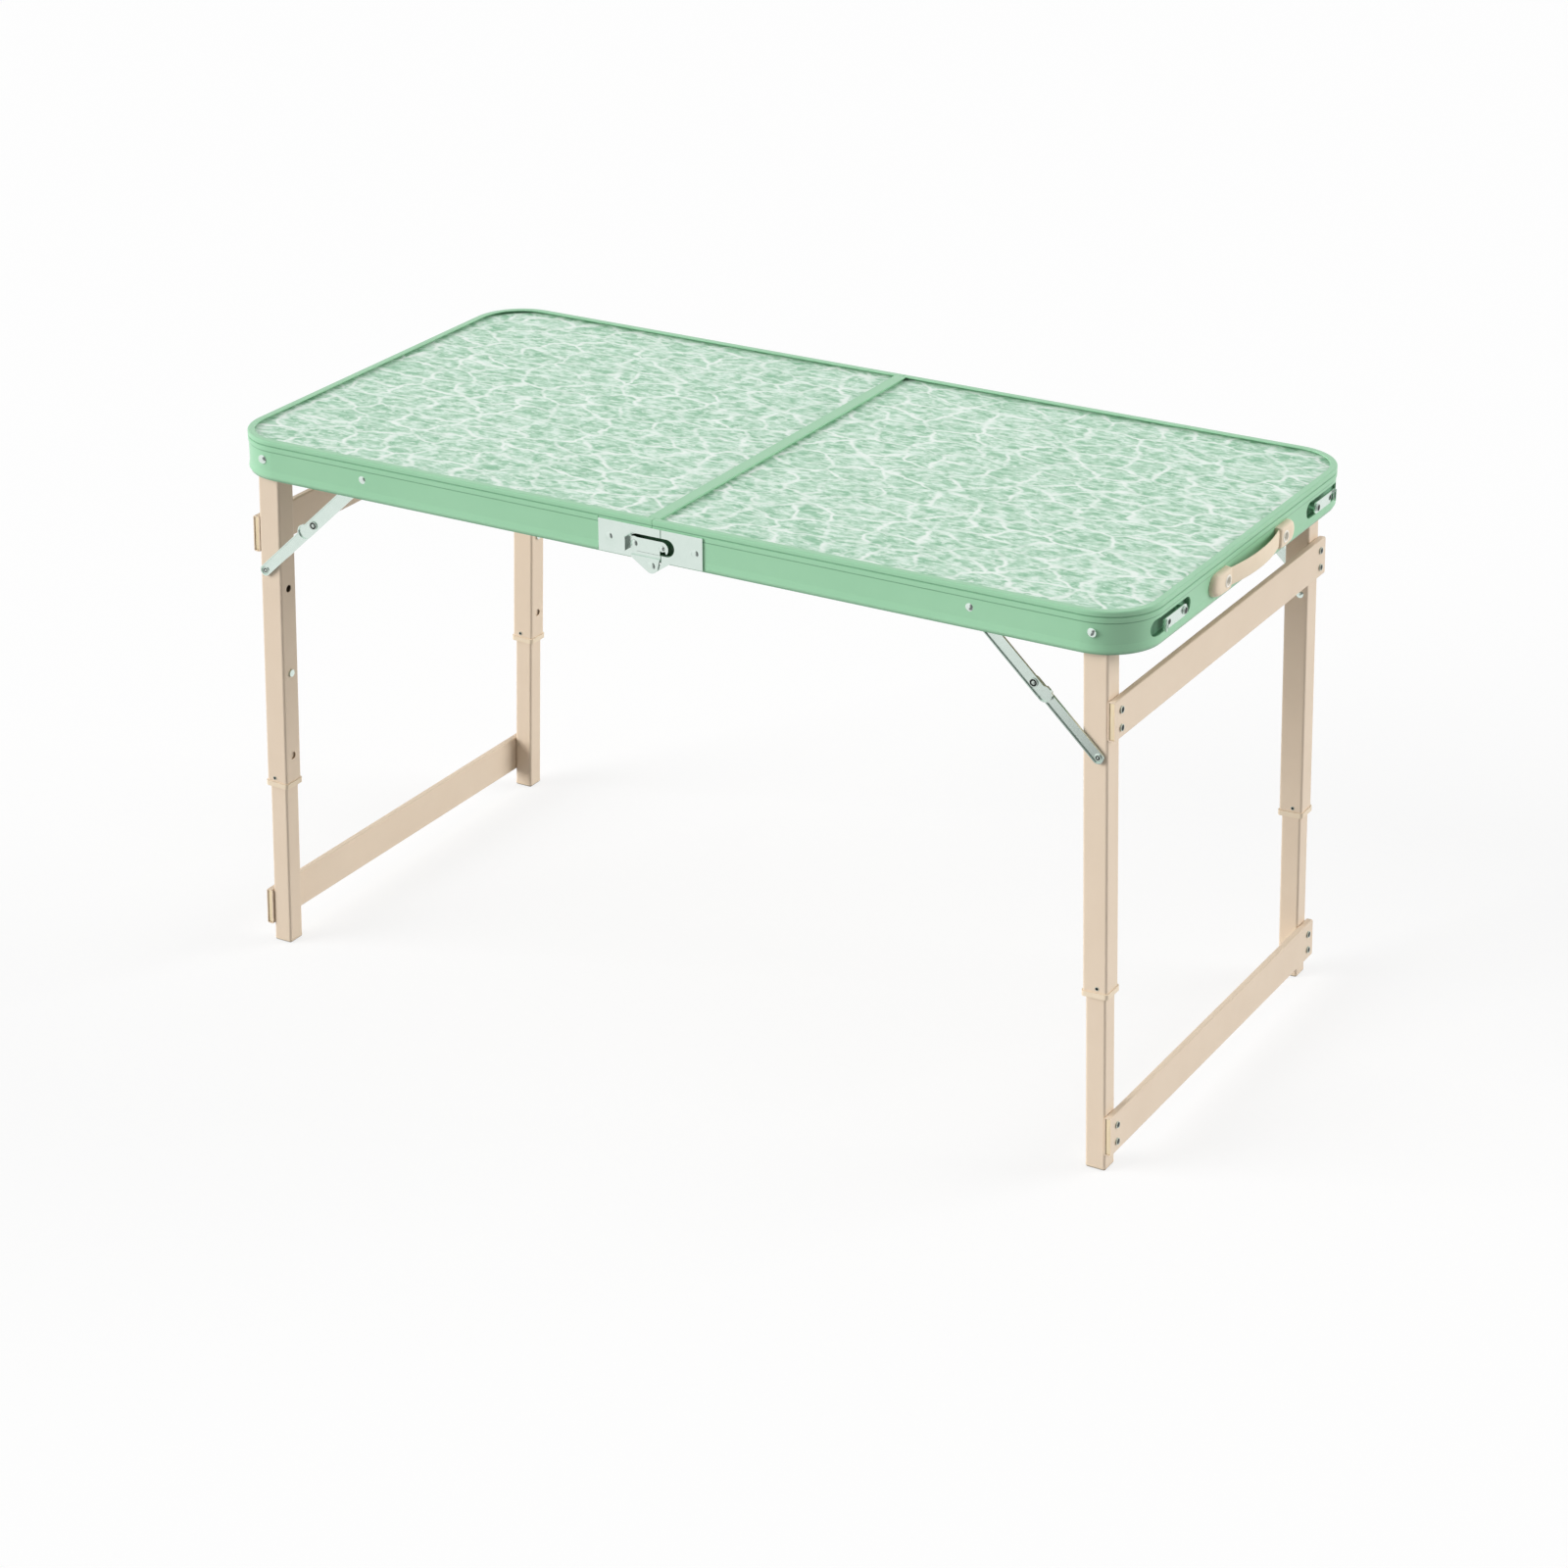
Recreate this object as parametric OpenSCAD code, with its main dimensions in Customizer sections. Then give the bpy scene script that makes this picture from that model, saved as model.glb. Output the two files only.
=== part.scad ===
// Folding camping table: a rimmed top in two halves that close like a case,
// with two telescopic leg frames that fold up inside, each on a pair of two-link braces.
// X runs along the table, Y across it and Z up from the ground. The handle is at +X.

/* [Table top] */
// Length of the open top, over the rim
top_length = 1200; // [1190:5:1260]
// Width of the top, over the rim
top_width = 600; // [560:10:660]
// Height of the top above the ground
top_height = 680; // [670:5:690]
// Outer radius of the four corners
corner_r = 65; // [60:1:72]
// Depth of the panels' surface below the top
panel_drop = 4.4; // [4:0.1:4.8]
// Thickness of the panel in each half
panel_t = 3; // [2.6:0.1:3.2]
// Play between the two halves at the fold line
seam_gap = 0.6; // [0.4:0.1:1]

/* [Rim] */
// Height of the rim
rim_h = 50; // [48:0.5:54]
// Wall of the rim
rim_wall = 2; // [1.6:0.1:2.2]
// Width of the rolled lip over the panel's edge, and of the ledge below it
lip_w = 8; // [7:0.5:9]
// Thickness of the lip
lip_t = 1.8; // [1.5:0.1:2]
// Thickness of the ledge that carries the panel
ledge_t = 1.2; // [1:0.1:1.4]
// Radius of the rolled outer top edge
roll_r = 2; // [1.5:0.1:2.5]
// Height of the band that stands out along the top of the rim
band_h = 6; // [5:0.5:6.5]
// How far that band and the ridge below it stand out
band_out = 0.8; // [0.5:0.1:1]
// Height of the groove between the band and the ridge
groove_h = 1.5; // [1:0.1:2]
// Height of the ridge
ridge_h = 6; // [4:0.5:6.5]
// Height of the flared hem along the rim's lower edge
hem_h = 12; // [10:0.5:12]
// Height of the bead, where the hem is widest, above the lower edge
bead_z = 4.5; // [4:0.1:5]
// Radius of that bead
bead_r = 2.2; // [1.8:0.1:2.4]
// How far that bead stands out
bead_out = 1.2; // [0.8:0.1:1.25]

/* [Centre rails] */
// Height of the rails that close the halves at the fold line
rail_drop = 25; // [20:1:28]
// Wall of those rails
rail_wall = 1.7; // [1.4:0.1:2]
// Width of the cover strip on the left rail
cover_w = 15.5; // [14:0.5:18]
// How far that strip laps over the right half
cover_lap = 5; // [4:0.5:7]
// Play between the cover strip and the right rail below it
cover_play = 0.3; // [0.2:0.1:0.4]
// Width of the stiffening channel under each panel
stiffener_w = 30; // [24:1:40]
// Height of that channel
stiffener_h = 12; // [10:0.5:14]
// Wall of that channel
stiffener_wall = 1.5; // [1.2:0.1:2]
// Width of each of its flanges
stiffener_flange = 8; // [6:1:10]
// Length of the channel across the table
stiffener_len = 500; // [400:10:510]

/* [Legs] */
// Distance from the end of the top to the leg pivot
leg_inset = 52; // [50:1:56]
// Depth of the leg pivot below the top
pivot_drop = 25; // [24:0.5:26]
// Outward lean of the standing legs, in degrees
leg_lean = 2; // [1:0.5:3]
// Room between the rim and the legs, for the braces
leg_side_gap = 8; // [8:0.1:9]
// Side of the square upper leg tube
upper_w = 30; // [29:0.5:31]
// Side of the square lower leg tube
lower_w = 25; // [24:0.5:26]
// Wall of both leg tubes
tube_wall = 1.2; // [1:0.1:1.4]
// Corner radius of both leg tubes
tube_r = 3; // [2.5:0.1:3.5]
// Length of the upper tube below the pivot
upper_len = 430.8; // [420:1:440]
// Distance from the pivot down to the top of the lower tube
lower_start = 270; // [265:1:275]
// Distance from the pivot down to the button in use
button_at = 284; // [280:1:290]
// Distance between two height settings
hole_pitch = 112; // [110:1:116]
// Radius of a spring button
button_r = 4.5; // [4:0.1:5]
// Play round a button in its holes
button_play = 0.3; // [0.2:0.1:0.4]
// How far a button stands out of the upper tube
button_out = 2; // [1.5:0.1:2.2]
// Thickness of the leaf spring behind a button
leaf_t = 0.8; // [0.6:0.1:1]
// Width of that leaf spring
leaf_w = 9; // [8:0.5:12]
// Length of that leaf spring below the button
leaf_len = 44; // [36:1:50]

/* [Collars, plugs and feet] */
// Side of the collar below the upper tube
collar_w = 33; // [32:0.1:33]
// Height of that collar
collar_h = 6.5; // [5:0.5:8]
// Length of the collar's sleeve inside the upper tube
sleeve_len = 30; // [20:1:32]
// Play between the collar and the lower tube
slide_play = 0.25; // [0.2:0.05:0.35]
// Radius of the pip that holds the collar in the upper tube
pip_r = 2; // [1.5:0.1:2.5]
// Height of the pip above the collar
pip_rise = 5; // [4:0.5:8]
// Offset of the pip toward the end of the table
pip_offset = 3; // [0:0.5:5]
// Play between the guide plug and the upper tube
plug_play = 0.3; // [0.3:0.05:0.4]
// Thickness of the guide plug's head
plug_h = 8; // [6:0.5:9]
// Length of the guide plug inside the lower tube
plug_in = 7; // [5:0.5:8]
// Side of the foot cap
foot_w = 28; // [27.5:0.1:29]
// Height of the foot cap on the outside of the leg
foot_h = 10; // [8:0.5:12]
// Thickness of the foot cap under the tube
foot_base = 3.5; // [3:0.1:5]

/* [Leg rails] */
// Thickness of the flat tubes that join the legs
bar_t = 9; // [8:0.5:9]
// Wall of those flat tubes
bar_wall = 1.3; // [1:0.1:1.5]
// Corner radius of those flat tubes
bar_r = 2; // [1.8:0.1:2.5]
// Width of the upper flat tube
upper_bar_w = 46; // [40:1:48]
// Distance from the pivot down to the upper flat tube
upper_bar_at = 80; // [79:1:86]
// Width of the lower flat tube
lower_bar_w = 48; // [40:1:50]
// Height of the lower flat tube above the ground
lower_bar_z = 22; // [20:1:30]
// Depth of the plug inside each end of a flat tube
bar_plug_in = 5; // [3:0.5:6]
// Thickness of that plug
bar_plug_t = 3; // [2:0.5:5]
// Distance between the two rivets at the end of a flat tube
bar_rivet_pitch = 21; // [18:1:24]
// Radius of those rivets' shanks
bar_rivet_r = 2.4; // [2:0.1:3]
// Radius of those rivets' heads
bar_rivet_head = 4; // [3.5:0.1:4.5]

/* [Braces] */
// Distance from the leg pivot to the brace pivots, along the rim and down the leg
brace_reach = 146; // [144:1:150]
// Offset of the lower brace pivot toward the outside of the leg
brace_offset = 5; // [4:0.5:7]
// Width of the upper link
upper_link_w = 16; // [15:0.5:17]
// Width of the lower link
lower_link_w = 14; // [13:0.5:15]
// Depth of both channel links
link_depth = 3; // [2.8:0.1:3]
// Sheet thickness of the links
link_wall = 1.2; // [1:0.1:1.3]
// Play between rim, upper link and lower link
link_play = 0.4; // [0.3:0.05:0.4]
// How far the upper link's rounded end lies past the middle pivot
stop_reach = 17; // [16:0.5:19]
// Radius of that rounded end
stop_r = 9.5; // [9:0.1:10]
// Length of the stop tab bent over the lower link's edge
stop_tab = 9; // [7:0.5:10]
// Play between the stop tab and the lower link
stop_play = 0.3; // [0.2:0.05:0.4]
// Radius of the brace rivets' shanks
brace_pin_r = 3; // [2.5:0.1:3.2]
// Radius of the brace rivets' heads
brace_head_r = 4.8; // [4.5:0.1:5]

/* [Bolts and fits] */
// Radius of the leg pivot bolt
bolt_r = 4; // [3.5:0.1:4.5]
// Radius of the bolt's round head
bolt_head_r = 5.5; // [5:0.1:6.5]
// Height of the bolt's round head
bolt_head_h = 2.5; // [2:0.1:3]
// Radius of the spacer between the rim and the leg
spacer_r = 8; // [7:0.1:8.5]
// Thickness of the nut
nut_h = 5; // [4:0.5:6]
// Radius of the nut over its corners
nut_r = 7.5; // [7:0.1:8]
// Radial play of a turning pin in its bore
pin_play = 0.05; // [0.02:0.01:0.08]
// Side play of turning parts
side_play = 0.3; // [0.2:0.05:0.35]

/* [Centre hinges and hooks] */
// Depth of the fold axis below the rim
hinge_drop = 4; // [3.5:0.1:5]
// Thickness of the hinge plates
plate_t = 2; // [1.6:0.1:2.4]
// Height of the hinge plates
plate_h = 39; // [37:1:41]
// Height of the plates' lower edge above the rim's
plate_rise = 2; // [1.5:0.1:2.5]
// Reach of the left hinge plate from the fold line
left_plate_len = 71; // [66:1:76]
// Reach of the right hinge plate from the fold line
right_plate_len = 67; // [62:1:76]
// Distance from the fold line to the joint between the plates
plate_seam = 11.5; // [11:0.1:12]
// Gap between the plates
plate_gap = 1; // [0.8:0.1:1.3]
// Radius of the hinge knuckles
knuckle_r = 9; // [8.5:0.1:9.5]
// Radius of the hinge pins
hinge_pin_r = 4; // [3.5:0.1:4.5]
// Width of the left hinge lug to the left of the fold line
lug_left = 27; // [22:1:30]
// Width of the right hinge lug to the right of the fold line
lug_right = 24; // [20:1:28]
// Height of the left lug's joggle over its plate
lug_lap = 3.5; // [3:0.5:4]
// Distance from the fold line to each plate rivet
plate_rivet_x = 57; // [54:1:58]
// Height of the plate rivets above the rim's lower edge
plate_rivet_z = 21; // [19:0.5:23]
// Length of the hook window in rims and plates
window_len = 60; // [56:1:62]
// Height of that window
window_h = 21; // [20:0.5:22]
// Height of the window's middle above the rim's lower edge
window_z = 20.5; // [20:0.5:21]
// Depth of the pockets behind the windows
pocket_depth = 6; // [5:0.5:7]
// Sheet thickness of the pockets
pocket_wall = 1; // [0.8:0.1:1.2]
// Thickness of hooks and latches
hook_t = 1.8; // [1.5:0.1:2]
// Distance from the fold line to the hook pivot
hook_pivot_x = 22; // [21:0.5:23]
// Distance from the fold line to the hook stud
hook_stud_x = 15; // [14:0.5:15.5]
// Height of hook pivot and stud above the rim's lower edge
hook_z = 19.5; // [19:0.5:20]
// Height of the hook bar
hook_h = 16.5; // [15:0.5:17]
// Radius of the hook's eye
hook_eye_r = 9; // [8.8:0.1:9.2]
// Radius of the hook pivot's shank
hook_pin_r = 3; // [2.5:0.1:3]
// Radius of the hook stud's shank
hook_stud_r = 2.2; // [2:0.1:2.4]
// Play between stud and hook
hook_play = 0.5; // [0.4:0.1:0.7]
// Slope of the notch's open side, in degrees
notch_slope = 26; // [24:1:30]
// How far the hooks' thumb tabs stand out
tab_out = 6.5; // [5:0.5:7.5]

/* [End latches] */
// Distance from the table's side to each latch pivot
latch_inset = 116; // [114:1:122]
// Height of the latch pivots above the rim's lower edge
latch_z = 22; // [22:0.5:23]
// Height of the latch plate
latch_h = 14; // [12:0.5:15]
// Distance from the latch pivot to the middle of its notch
latch_reach = 44; // [42:1:46]
// Metal between the latch's notch and its tab
latch_tip = 2; // [1.5:0.5:4]
// How far the latches' thumb tabs stand out
latch_tab_out = 3; // [2:0.5:5]
// Radius of the latch pivot and of the catch stud's shank
latch_pin_r = 3; // [2.5:0.1:3.5]
// Length of the recess behind each latch
recess_len = 95; // [92:1:98]
// Height of that recess
recess_h = 20; // [18:0.5:20]
// How far the recess runs past the latch pivot toward the table's middle
recess_lead = 23; // [20:1:28]
// Play between the latch and the rim's lower bead
latch_play = 0.4; // [0.3:0.05:0.5]

/* [Carrying handle] */
// How far the strap stands out from the rim
handle_out = 14; // [13:0.5:16]
// Thickness of the strap
strap_t = 3; // [2.5:0.1:3.2]
// Height of the strap
strap_h = 21; // [18:0.5:23]
// Half the length of the strap
strap_half = 73; // [70:1:74]
// Distance of the strap's outer face from the rim at its ends
strap_end_out = 5.5; // [5:0.1:6]
// Height of the handle's middle above the rim's lower edge
handle_z = 21.3; // [21:0.1:21.4]
// Near edge of each handle pad, from the table's middle
pad_start = 64; // [62:0.5:66]
// Straight length of each handle pad
pad_len = 36; // [32:1:40]
// Height of each handle pad
pad_h = 30; // [28:0.5:30]
// Thickness of each handle pad at its highest
pad_t = 9; // [8.5:0.1:10]
// Radius of the pad's curved front
pad_crown_r = 120; // [110:5:160]
// Distance from the table's middle to each handle screw
screw_y = 80; // [79:0.5:84]
// Radius of the handle screws' heads
screw_head_r = 5; // [4.5:0.1:5.5]
// Radius of the handle screws' shanks
screw_r = 2.5; // [2:0.1:3]
// Play round strap ends and screw heads
handle_play = 0.2; // [0.15:0.05:0.3]

/* [Hidden] */
$fn = 48;
// segments of the largest curves
large_fn = 96;
// how far a cut runs past the face that it opens
overcut = 1;
half_l = top_length / 2;
half_w = top_width / 2;
rim_z = top_height - rim_h;
rim_in_y = half_w - rim_wall;
panel_z = top_height - panel_drop - panel_t;
ledge_z = panel_z - ledge_t;
panel_start = seam_gap / 2 + rail_wall + handle_play;
pivot_x = half_l - leg_inset;
pivot_z = top_height - pivot_drop;
leg_face_y = rim_in_y - leg_side_gap;
leg_y = leg_face_y - upper_w / 2;
upper_in = upper_w - 2 * tube_wall;
lower_in = lower_w - 2 * tube_wall;
// length of the leaning leg from its pivot to the ground
leg_run = pivot_z / cos(leg_lean);
// the lower flat tube and its rivets, measured down the leg from the pivot
lower_bar_at = leg_run - lower_bar_z - lower_bar_w;
bar_wide = 2 * leg_face_y;
upper_rivet_at = upper_bar_at + (upper_bar_w - bar_rivet_pitch) / 2;
lower_rivet_at = lower_bar_at + (lower_bar_w - bar_rivet_pitch) / 2;
pip_at = upper_len - pip_rise;
// brace pivots: one on the rim, one on the leg, and the links are half that span each
brace_x = pivot_x - brace_reach;
brace_end_x = pivot_x + brace_reach * sin(leg_lean) + brace_offset * cos(leg_lean);
brace_end_z = pivot_z - brace_reach * cos(leg_lean) + brace_offset * sin(leg_lean);
link_len = norm([brace_end_x - brace_x, pivot_z - brace_end_z]) / 2;
link_tilt = atan2(pivot_z - brace_end_z, brace_end_x - brace_x);
upper_link_y = rim_in_y - link_play - link_depth;
lower_link_y = upper_link_y - link_play - link_depth;
// how far the middle rivet's shank stands out of its head, toward the leg
shank_out = 0.1;
link_head_t = lower_link_y - leg_face_y - side_play - shank_out;
stop_offset = stop_r - upper_link_w / 2;
// how far the brace rivets' domes stay below the channels' edges
dome_sink = 0.3;
brace_dome = link_depth - link_wall - dome_sink;
// corner radius of collars and foot caps
moulding_r = tube_r + 1;
// how far a collar's pip stands out of the tube
pip_out = 0.3;
// how far a leaf spring runs past its button
leaf_rise = 1;
// centre hinge
hinge_z = rim_z - hinge_drop;
plate_z = rim_z + plate_rise;
// rim left bare of hem and ridge beyond the hinge plates
plate_margin = 1;
hook_y = half_w + plate_t + side_play;
knuckle_clear = 0.3;
// directions from the hinge axis in which the lugs leave their knuckles
left_lug_arc = [240, -20];
right_lug_arc = [-60, 15];
// height of the left lug's end above the plate's lower edge
lug_edge = lug_lap / 3;
// distance from a hook's eye to its tab
tab_gap = 1;
rivet_dome = 1.6;
rivet_tail = 1.2;
screw_dome = 2.2;
// how far heads and shoulders, and tails, reach past their shank
head_rim = 2;
tail_rim = 1.5;
hinge_head_r = hinge_pin_r + tail_rim;
// end latches: each catch stud sits where a latch's notch comes when the table is shut
latch_y = half_w - latch_inset;
catch_z = latch_reach - latch_z - 2 * hinge_drop;
latch_x = half_l + bead_out + latch_play;
stud_gap = 0.4;
catch_x = latch_x + hook_t + stud_gap;
catch_dome = 1.6;
// the box over all parts is centred on the origin
frame_x = (catch_x + catch_dome - half_l - handle_out) / 2;
rim_green = "#96c8a2";
panel_green = "#c9e8d4";
leg_beige = "#dccab0";
steel = "#c9d4cd";
cup_green = "#5f8f70";
end_grey = "#4a4640";
strap_r = (pow(strap_half, 2) + pow(handle_out - strap_end_out, 2)) / (2 * (handle_out - strap_end_out));

// Placing

// shapes are drawn for the right half and the front edge, and mirrored to the others
module on_right() {
    translate([frame_x, 0, 0]) children();
}

module on_left() {
    translate([frame_x, 0, 0]) mirror([1, 0, 0]) children();
}

module at_back() {
    mirror([0, 1, 0]) children();
}

module front_and_back() {
    children();
    at_back() children();
}

// drawing plane facing the front, at a distance from the table's long middle plane
module facing_front(distance) {
    translate([0, -distance, 0]) rotate([90, 0, 0]) children();
}

// drawing plane facing the end with the handle: X runs across the table and Y up
module facing_end(distance) {
    translate([distance, 0, 0]) rotate([90, 0, 90]) children();
}

// leg frame: the pivot is the origin, -Z runs down the leg and +X to the table's end
module on_leg() {
    translate([pivot_x, 0, pivot_z]) rotate([0, -leg_lean, 0]) children();
}

// Basic forms

function arc(cx, cy, r, from, to, steps = 6) = [
    for (i = [0:steps])
        let (a = from + (to - from) * i / steps)
        [cx + r * cos(a), cy + r * sin(a)]
];

module round_rect(w, h, r) {
    square([w, h - 2 * r], center = true);
    square([w - 2 * r, h], center = true);
    for (x = [-1, 1], y = [-1, 1])
        translate([x * (w / 2 - r), y * (h / 2 - r)]) circle(r);
}

// slot with round ends whose straight part starts at the origin and runs along X
module slot(run, width) {
    translate([0, -width / 2]) square([run, width]);
    circle(d = width);
    translate([run, 0]) circle(d = width);
}

module square_tube(side, len) {
    linear_extrude(len) difference() {
        round_rect(side, side, tube_r);
        round_rect(side - 2 * tube_wall, side - 2 * tube_wall, tube_r - tube_wall);
    }
}

// low round rivet head standing on the plane z = 0
module dome(r, h) {
    ball_r = (r * r + h * h) / (2 * h);
    intersection() {
        translate([0, 0, h - ball_r]) sphere(ball_r);
        translate([-ball_r, -ball_r, 0]) cube([2 * ball_r, 2 * ball_r, 2 * h]);
    }
}

// rivet through material below z = 0, with a flat tail on the far side
module rivet(head_r, head_h, shank_r, grip, tail_r = 0) {
    dome(head_r, head_h);
    translate([0, 0, -grip]) cylinder(r = shank_r, h = grip);
    if (tail_r > 0)
        translate([0, 0, -grip - rivet_tail]) cylinder(r = tail_r, h = rivet_tail);
}

// Table top

// rolled section of the rim: X runs inward from its outer face, Y up from its lower edge;
// upward it has a flared hem, the plain wall, a ridge, a groove, the band and the lip
module rim_section() {
    ledge_y = ledge_z - rim_z;
    band_y = rim_h - band_h;
    ridge_y = band_y - groove_h - ridge_h;
    polygon(concat(
        [[rim_wall, 0], [rim_wall / 2, 0]],
        arc(bead_r - bead_out, bead_z, bead_r, 235, 165),
        [[0, hem_h]],
        arc(0, ridge_y + band_out, band_out, 270, 180, 3),
        arc(0, ridge_y + ridge_h - band_out, band_out, 180, 90, 3),
        arc(0, band_y + band_out, band_out, 270, 180, 3),
        arc(roll_r - band_out, rim_h - roll_r, roll_r, 180, 90),
        arc(lip_w - lip_t / 2, rim_h - lip_t / 2, lip_t / 2, 90, -90),
        [
            [rim_wall, rim_h - lip_t],
            [rim_wall, ledge_y + ledge_t],
            [lip_w, ledge_y + ledge_t],
            [lip_w, ledge_y],
            [rim_wall, ledge_y]
        ]
    ));
}

// obround window of the hooks, in the plane facing the front
module window_shape(grow = 0) {
    straight = window_len - window_h;
    translate([-straight / 2, rim_z + window_z]) slot(straight, window_h + 2 * grow);
}

// obround recess behind the front latch, in the plane facing the end
module recess_shape(grow = 0) {
    straight = recess_len - recess_h;
    far = latch_y - recess_lead + recess_len - recess_h / 2;
    translate([-far, rim_z + latch_z]) slot(straight, recess_h + 2 * grow);
}

// straight stretch of the rim across the end of a half
module rim_end() {
    translate([half_l, corner_r - half_w, rim_z]) rotate([90, 0, 180])
        linear_extrude(top_width - 2 * corner_r) rim_section();
}

// one half of the rim, as a U that is open toward the fold line
module half_rim(with_recess) {
    difference() {
        union() {
            front_and_back() translate([seam_gap / 2, -half_w, rim_z])
                rotate([90, 0, 90]) linear_extrude(half_l - corner_r - seam_gap / 2) rim_section();
            front_and_back() translate([half_l - corner_r, corner_r - half_w, rim_z])
                rotate([0, 0, -90]) rotate_extrude(angle = 90)
                translate([corner_r, 0]) mirror([1, 0]) rim_section();
            rim_end();
        }
        front_and_back() {
            facing_front(rim_in_y - lip_w) linear_extrude(2 * lip_w) window_shape();
            facing_front(rim_in_y - lip_w) linear_extrude(2 * lip_w) rim_bores();
            // hem and ridge are cut away under the hinge plates
            translate([0, -half_w - 2 * bead_out, rim_z - overcut]) cube([
                max(left_plate_len, right_plate_len) + plate_margin,
                2 * bead_out,
                rim_h - band_h + overcut
            ]);
            if (with_recess) {
                facing_end(half_l - lip_w) linear_extrude(2 * lip_w) recess_shape();
                facing_end(half_l - lip_w) linear_extrude(2 * lip_w) screw_bores();
            } else {
                facing_end(half_l - lip_w) translate([-latch_y, rim_z + catch_z])
                    cylinder(r = latch_pin_r, h = 2 * lip_w);
            }
        }
    }
}

module rim_bores() {
    translate([pivot_x, pivot_z]) circle(bolt_r);
    translate([brace_x, pivot_z]) circle(brace_pin_r);
    translate([plate_rivet_x, rim_z + plate_rivet_z]) circle(brace_pin_r);
}

module screw_bores() {
    translate([-screw_y, rim_z + handle_z]) circle(screw_r);
}

// outline of a half seen from above, set in from the rim's outer face
module half_outline(start_x, inset) {
    r = corner_r - inset;
    end_x = half_l - inset;
    side_y = half_w - inset;
    translate([start_x, -side_y]) square([end_x - r - start_x, 2 * side_y]);
    translate([start_x, r - side_y]) square([end_x - start_x, 2 * (side_y - r)]);
    for (side = [-1, 1])
        translate([end_x - r, side * (side_y - r)]) circle(r);
}

module half_panel() {
    translate([0, 0, panel_z]) linear_extrude(panel_t)
        half_outline(panel_start, rim_wall + handle_play);
}

// runs a rail section along the fold line; X is the distance from the fold line, Y the height
module along_fold(len) {
    rotate([90, 0, 0]) translate([0, 0, -len / 2]) linear_extrude(len) children();
}

// rail along the fold line: a web past the panel's edge up to head_z, and a ledge below the panel;
// below the ledge the web stops short of the pockets behind the hooks
module fold_rail(head_z) {
    along_fold(2 * (rim_in_y - pocket_depth))
        translate([seam_gap / 2, top_height - rail_drop])
        square([rail_wall, ledge_z - top_height + rail_drop]);
    along_fold(2 * (half_w - lip_w)) {
        translate([seam_gap / 2, ledge_z]) square([rail_wall, head_z - ledge_z]);
        translate([seam_gap / 2, ledge_z]) square([lip_w, ledge_t]);
    }
}

// strip over the fold line, drawn on the right like all shapes, though the left rail carries it
module cover_strip() {
    along_fold(2 * (half_w - lip_w)) polygon(concat(
        arc(cover_w - cover_lap - lip_t / 2, top_height - lip_t / 2, lip_t / 2, -90, 90),
        arc(lip_t / 2 - cover_lap, top_height - lip_t / 2, lip_t / 2, 90, 270)
    ));
}

// hat-shaped channel glued under the panel, halfway along each half
module stiffener() {
    translate([half_l / 2, 0, panel_z - stiffener_h]) along_fold(stiffener_len) {
        difference() {
            translate([-stiffener_w / 2, 0]) square([stiffener_w, stiffener_h]);
            translate([stiffener_wall - stiffener_w / 2, stiffener_wall])
                square([stiffener_w - 2 * stiffener_wall, stiffener_h]);
        }
        for (side = [-1, 1])
            translate([side * (stiffener_w + stiffener_flange) / 2, stiffener_h - stiffener_wall / 2])
                square([stiffener_flange, stiffener_wall], center = true);
    }
}

// Bolts and rivets in the rim

// pivot bolt of a leg with its spacer and nut
module leg_bolt() {
    translate([pivot_x, 0, pivot_z]) {
        facing_front(half_w) dome(bolt_head_r, bolt_head_h);
        facing_front(leg_face_y - upper_w - side_play - nut_h)
            cylinder(r = bolt_r, h = half_w - leg_face_y + upper_w + side_play + nut_h);
        facing_front(leg_face_y - upper_w - side_play - nut_h)
            cylinder(r = nut_r, h = nut_h, $fn = 6);
    }
    // the spacer, and the washer between wall and head, follow the rim's round corner
    intersection() {
        translate([pivot_x, 0, pivot_z])
            facing_front(leg_face_y + side_play) cylinder(r = spacer_r, h = leg_side_gap - side_play);
        corner_core(corner_r - rim_wall);
    }
    difference() {
        translate([pivot_x, 0, pivot_z])
            facing_front(half_w - 2 * rim_wall) cylinder(r = bolt_head_r, h = 2 * rim_wall);
        corner_core(corner_r);
    }
}

// upright cylinder about the middle of the front corner's round
module corner_core(r) {
    translate([half_l - corner_r, corner_r - half_w, rim_z - overcut])
        cylinder(r = r, h = rim_h + 2 * overcut, $fn = large_fn);
}

// brace pivot on the rim: its tail lies flush in the link's web, so the other link can pass
module brace_rivet() {
    translate([brace_x, 0, pivot_z]) {
        facing_front(half_w) rivet(brace_head_r, rivet_dome, brace_pin_r, half_w - upper_link_y);
        facing_front(upper_link_y + link_wall + side_play)
            cylinder(r = brace_head_r, h = rim_in_y - upper_link_y - link_wall - side_play);
    }
}

module plate_rivet() {
    translate([plate_rivet_x, 0, rim_z + plate_rivet_z])
        facing_front(half_w + plate_t)
        rivet(brace_head_r, rivet_dome, brace_pin_r, plate_t + rim_wall, brace_head_r);
}

// pin through both hinge lugs, flush at its inner end
module hinge_pin() {
    translate([0, 0, hinge_z]) facing_front(half_w + 2 * plate_t)
        rivet(hinge_head_r, rivet_dome, hinge_pin_r, 2 * plate_t);
}

// post that stands on the pocket's floor and carries the hook or holds its notch
module hook_post(x, shank_r) {
    post_base = rim_in_y - pocket_depth + pocket_wall;
    translate([x, 0, rim_z + hook_z]) {
        facing_front(post_base)
            cylinder(r = shank_r + head_rim, h = hook_y - side_play - post_base);
        facing_front(hook_y - side_play)
            cylinder(r = shank_r, h = hook_t + 2 * side_play);
        facing_front(hook_y + hook_t + side_play) dome(shank_r + tail_rim, rivet_dome);
    }
}

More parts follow.
